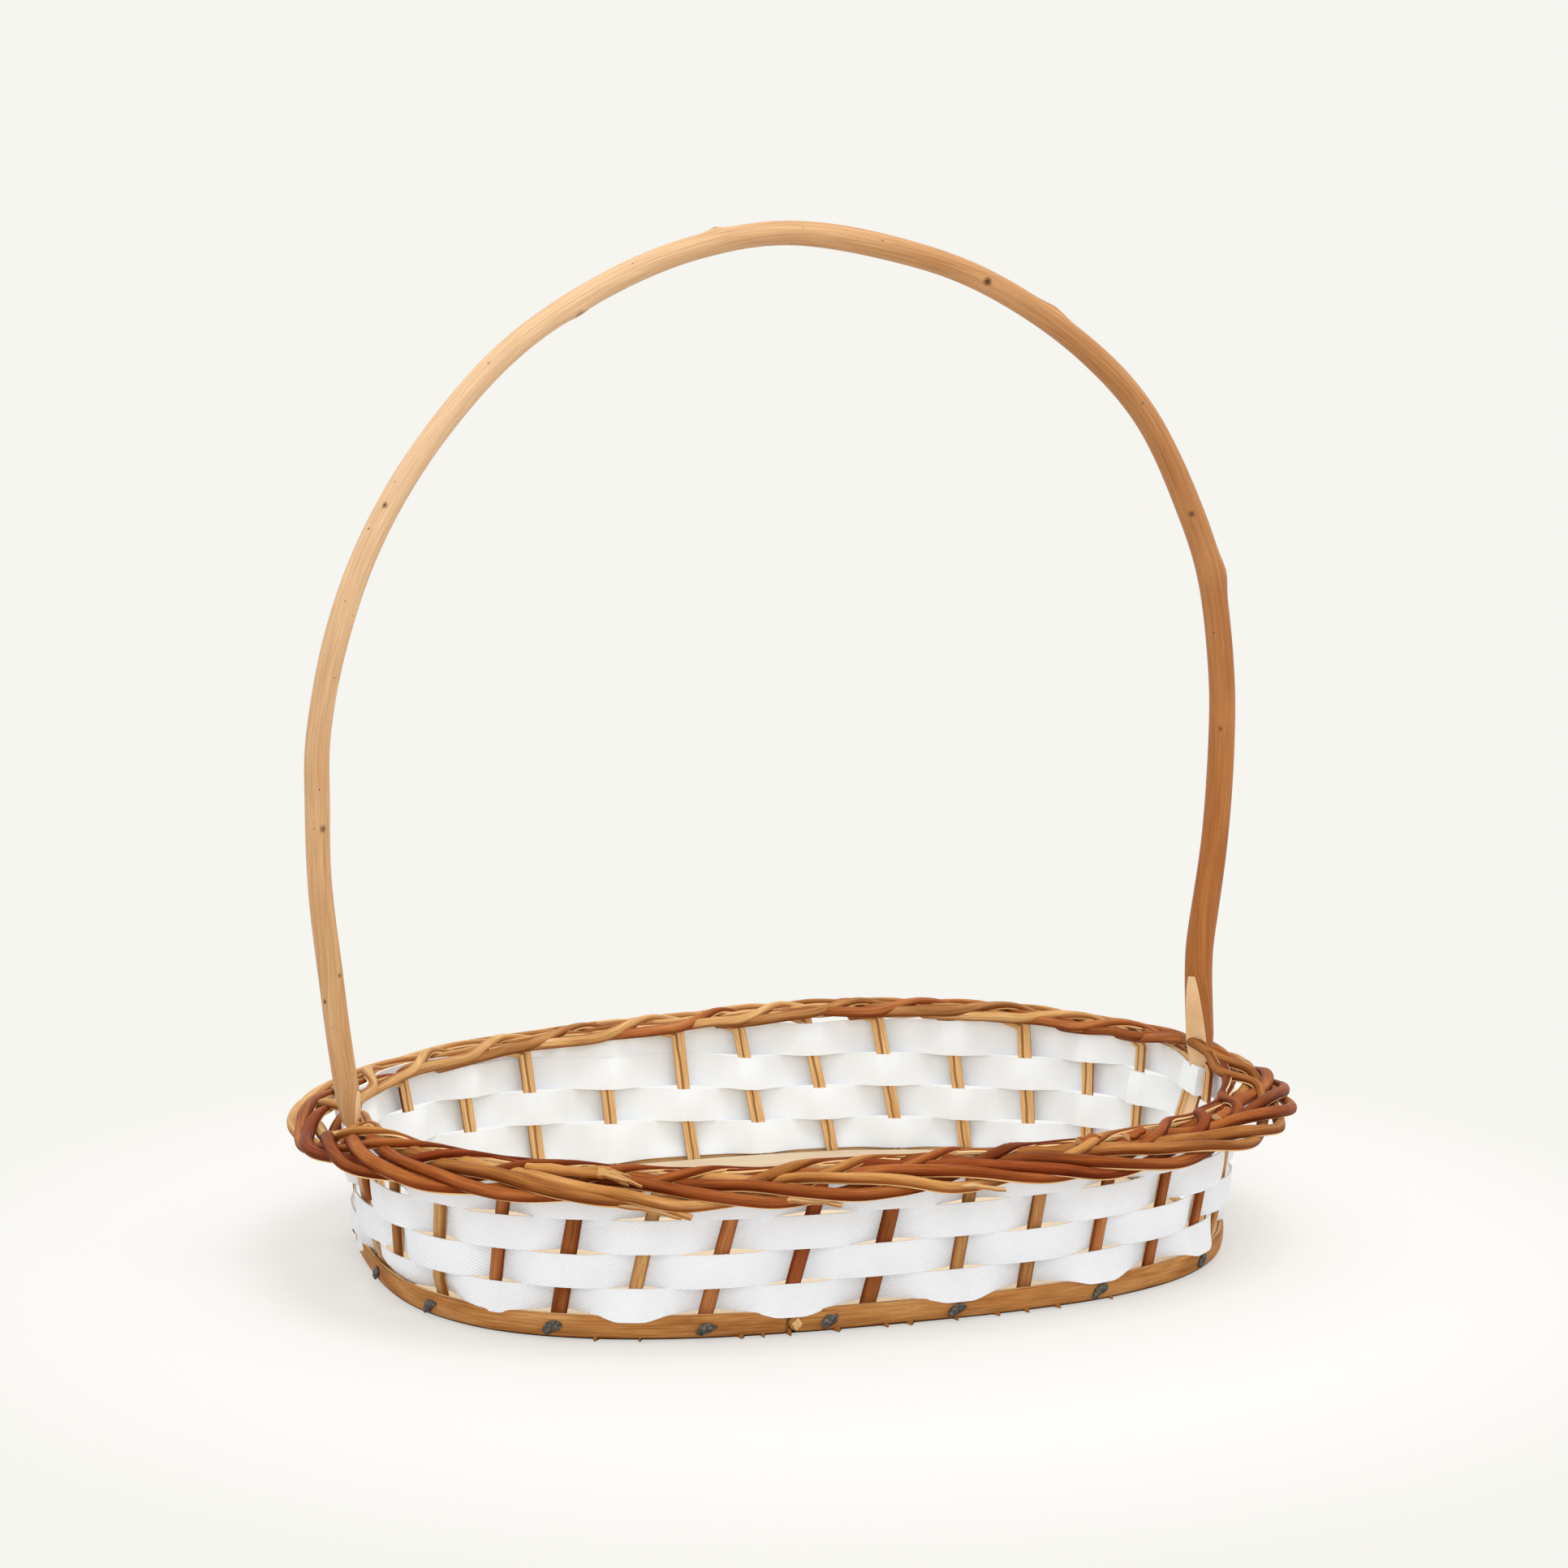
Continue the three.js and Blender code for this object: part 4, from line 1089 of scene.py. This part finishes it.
def handle_finish():
    """Smooth tan bark with long streaks, a painted highlight where the left of the arch rises, redder
    towards one end, and a few dark scars of side shoots.
    """
    finish, tree = fresh_finish("bark_handle", 0.45, 0.2)
    parts = parts_of(tree, grain_place(tree))
    around, along = parts["X"], parts["Y"]
    round_place = {"X": maths(tree, "COSINE", around), "Y": maths(tree, "SINE", around), "Z": along}
    place = node(tree, "CombineXYZ", round_place)
    streaks = cloud(tree, place, 0.22, 0.22, 0.05, detail=4.0)
    patches = cloud(tree, place, 1.6, 1.6, 0.05)
    fibres = cloud(tree, place, 0.07, 0.07, 0.02)
    tone = ramp(tree, streaks, [(0.3, (174, 125, 76)), (0.5, (195, 149, 99)), (0.7, (212, 173, 127))])
    broad = ramp(tree, patches, [(0.35, (180, 131, 82)), (0.6, (207, 167, 120))])
    bark = blend_colours(tree, 0.5, tone, broad)
    # Painted highlight: palest where the left of the arch rises. Redder down to the right foot
    away = maths(tree, "ABSOLUTE", maths(tree, "SUBTRACT", along, 0.36))
    bark = blend_colours(tree, between(tree, away, 0.03, 0.22, 0.52, 0.0), bark, (238, 208, 170))
    bark = darkened(tree, between(tree, along, 0.45, 0.9), bark, (212, 170, 118))
    shade = ramp(tree, fibres, [(0.3, (212, 200, 190)), (0.65, (255, 255, 255))])
    bark = blend_colours(tree, 0.7, bark, shade, "MULTIPLY")
    specks = cloud(tree, place, 0.3, 0.3, 0.0022, detail=1.0)
    speck = ramp(tree, specks, [(0.77, (0, 0, 0)), (0.8, (255, 255, 255))])
    bark = blend_colours(tree, speck, bark, (60, 34, 22))
    stretch = (1.0, 1.0, KNOT_STRETCH)
    ragged = node(tree, "VectorMath", {0: place, 1: stretch}, operation="MULTIPLY")
    for (_, turn, half_length, _, dark), at in zip(KNOTS, knot_lengths):
        turn = radians(turn)
        size = min(half_length, KNOT_REACH) * KNOT_SCAR_SHARE
        spot = (cos(turn), sin(turn), at * KNOT_STRETCH)
        apart = node(tree, "VectorMath", {0: ragged, 1: spot}, "Value", operation="DISTANCE")
        blurred = maths(tree, "MULTIPLY_ADD", fibres, 0.3, apart)
        scar = between(tree, blurred, 0.1 + size, 0.18 + 2 * size, dark, 0.0)
        bark = blend_colours(tree, scar, bark, (84, 46, 26))
    return finished(finish, bark, streaks, 0.0006)


def shaved_finish():
    """Pale wood where the rod was shaved flat, with fine lines along it."""
    finish, tree = fresh_finish("shaved_willow", 0.6, 0.3)
    fibres = cloud(tree, grain_place(tree), 0.35, 0.03, detail=3.0)
    wood = ramp(tree, fibres, [(0.3, (206, 164, 116)), (0.55, (226, 192, 150)), (0.75, (236, 208, 170))])
    return finished(finish, wood, fibres, 0.0003)


around = np.append(turns, turns[0] + 2 * pi)
handle = skin("willow_handle", rings, around, lengths, [handle_finish(), shaved_finish()])
cut_here = np.minimum(shaved[:-1], shaved[1:]) > 0
cut_faces = np.zeros((len(points) - 1, HANDLE_SIDES), bool)
cut_faces[cut_here, ROUND_SIDES:] = True
patches = np.zeros(len(handle.data.polygons), np.int32)
patches[: cut_faces.size] = cut_faces.ravel()
handle.data.polygons.foreach_set("material_index", patches)
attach(handle, "root")
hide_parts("handle")

# Floor of the studio: a wide pale sheet on which the basket stands and throws a soft shadow.
# It fades into the pale backdrop far behind the basket.
PAPER = paint(246, 245, 240)
PAPER_REACH = 6.0
PAPER_DEPTH = 0.0002
PAPER_FADE = (0.24, 0.42, 0.55)


def seen_as(tree, kind, factor, shader, output):
    """Shows the plain paper colour to the camera in a shader's place, as far as the factor says."""
    plain = node(tree, kind, {"Color": PAPER, "Strength": 1.0})
    seen = node(tree, "LightPath", {}, "Is Camera Ray")
    share = maths(tree, "MULTIPLY", factor, seen)
    mixed = node(tree, "MixShader", {0: share, 1: shader.outputs[0], 2: plain})
    tree.links.new(mixed, tree.nodes[output].inputs["Surface"])


paper_mesh = bpy.data.meshes.new("paper")
corner_ways = ((-1, -1), (1, -1), (1, 1), (-1, 1))
corners = [(x * PAPER_REACH, y * PAPER_REACH, -PAPER_DEPTH) for x, y in corner_ways]
paper_mesh.from_pydata(corners, [], [(0, 1, 2, 3)])
paper = placed("paper", paper_mesh)
finish, tree = fresh_finish("pale_paper", 1.0, 0.0)
surface = tree.nodes["Principled BSDF"]
surface.inputs["Base Color"].default_value = paint(221, 219, 217)
distance = node(tree, "VectorMath", {0: object_place(tree)}, "Value", operation="LENGTH")
fade = between(tree, distance, *PAPER_FADE, interpolation_type="SMOOTHSTEP")
seen_as(tree, "Emission", fade, surface, "Material Output")
paper_mesh.materials.append(finish)

# Light: an even pale surround, one broad soft lamp overhead and to the front, and a weak one from the left
world = bpy.data.worlds.new("pale_surround")
bpy.context.scene.world = world
world.use_nodes = True
surround = world.node_tree.nodes["Background"]
surround.inputs["Color"].default_value = (1.0, 1.0, 1.0, 1.0)
surround.inputs["Strength"].default_value = 1.16
seen_as(world.node_tree, "Background", 1.0, surround, "World Output")


def aimed(name, data, spot, aim):
    """A lamp or a camera at a spot, turned to look at its aim."""
    piece = placed(name, data)
    piece.location = spot
    piece.rotation_euler = (Vector(aim) - Vector(spot)).to_track_quat("-Z", "Y").to_euler()
    return piece


LAMPS = [("lamp_overhead", (0.2, -0.5, 1.8), 13.5), ("lamp_front", (-0.5, -1.7, 0.9), 4.0)]
LAMP_AIM = (0.0, 0.0, 0.1)
LAMP_SIZE = 0.9
for name, spot, power in LAMPS:
    light = bpy.data.lights.new(name, "AREA")
    light.shape = "DISK"
    light.size = LAMP_SIZE
    light.energy = power
    aimed(name, light, spot, LAMP_AIM)

# Camera: a long lens a little above the basket, in front of it and to its left
lens = bpy.data.cameras.new("camera")
lens.lens = 79.96
lens.sensor_width = 36.0
CAMERA_SPOT = (-0.4361, -1.3475, 0.3885)
CAMERA_AIM = (-0.0035, 0.0051, 0.1919)
bpy.context.scene.camera = aimed("camera", lens, CAMERA_SPOT, CAMERA_AIM)
bpy.context.scene.view_settings.view_transform = "Standard"
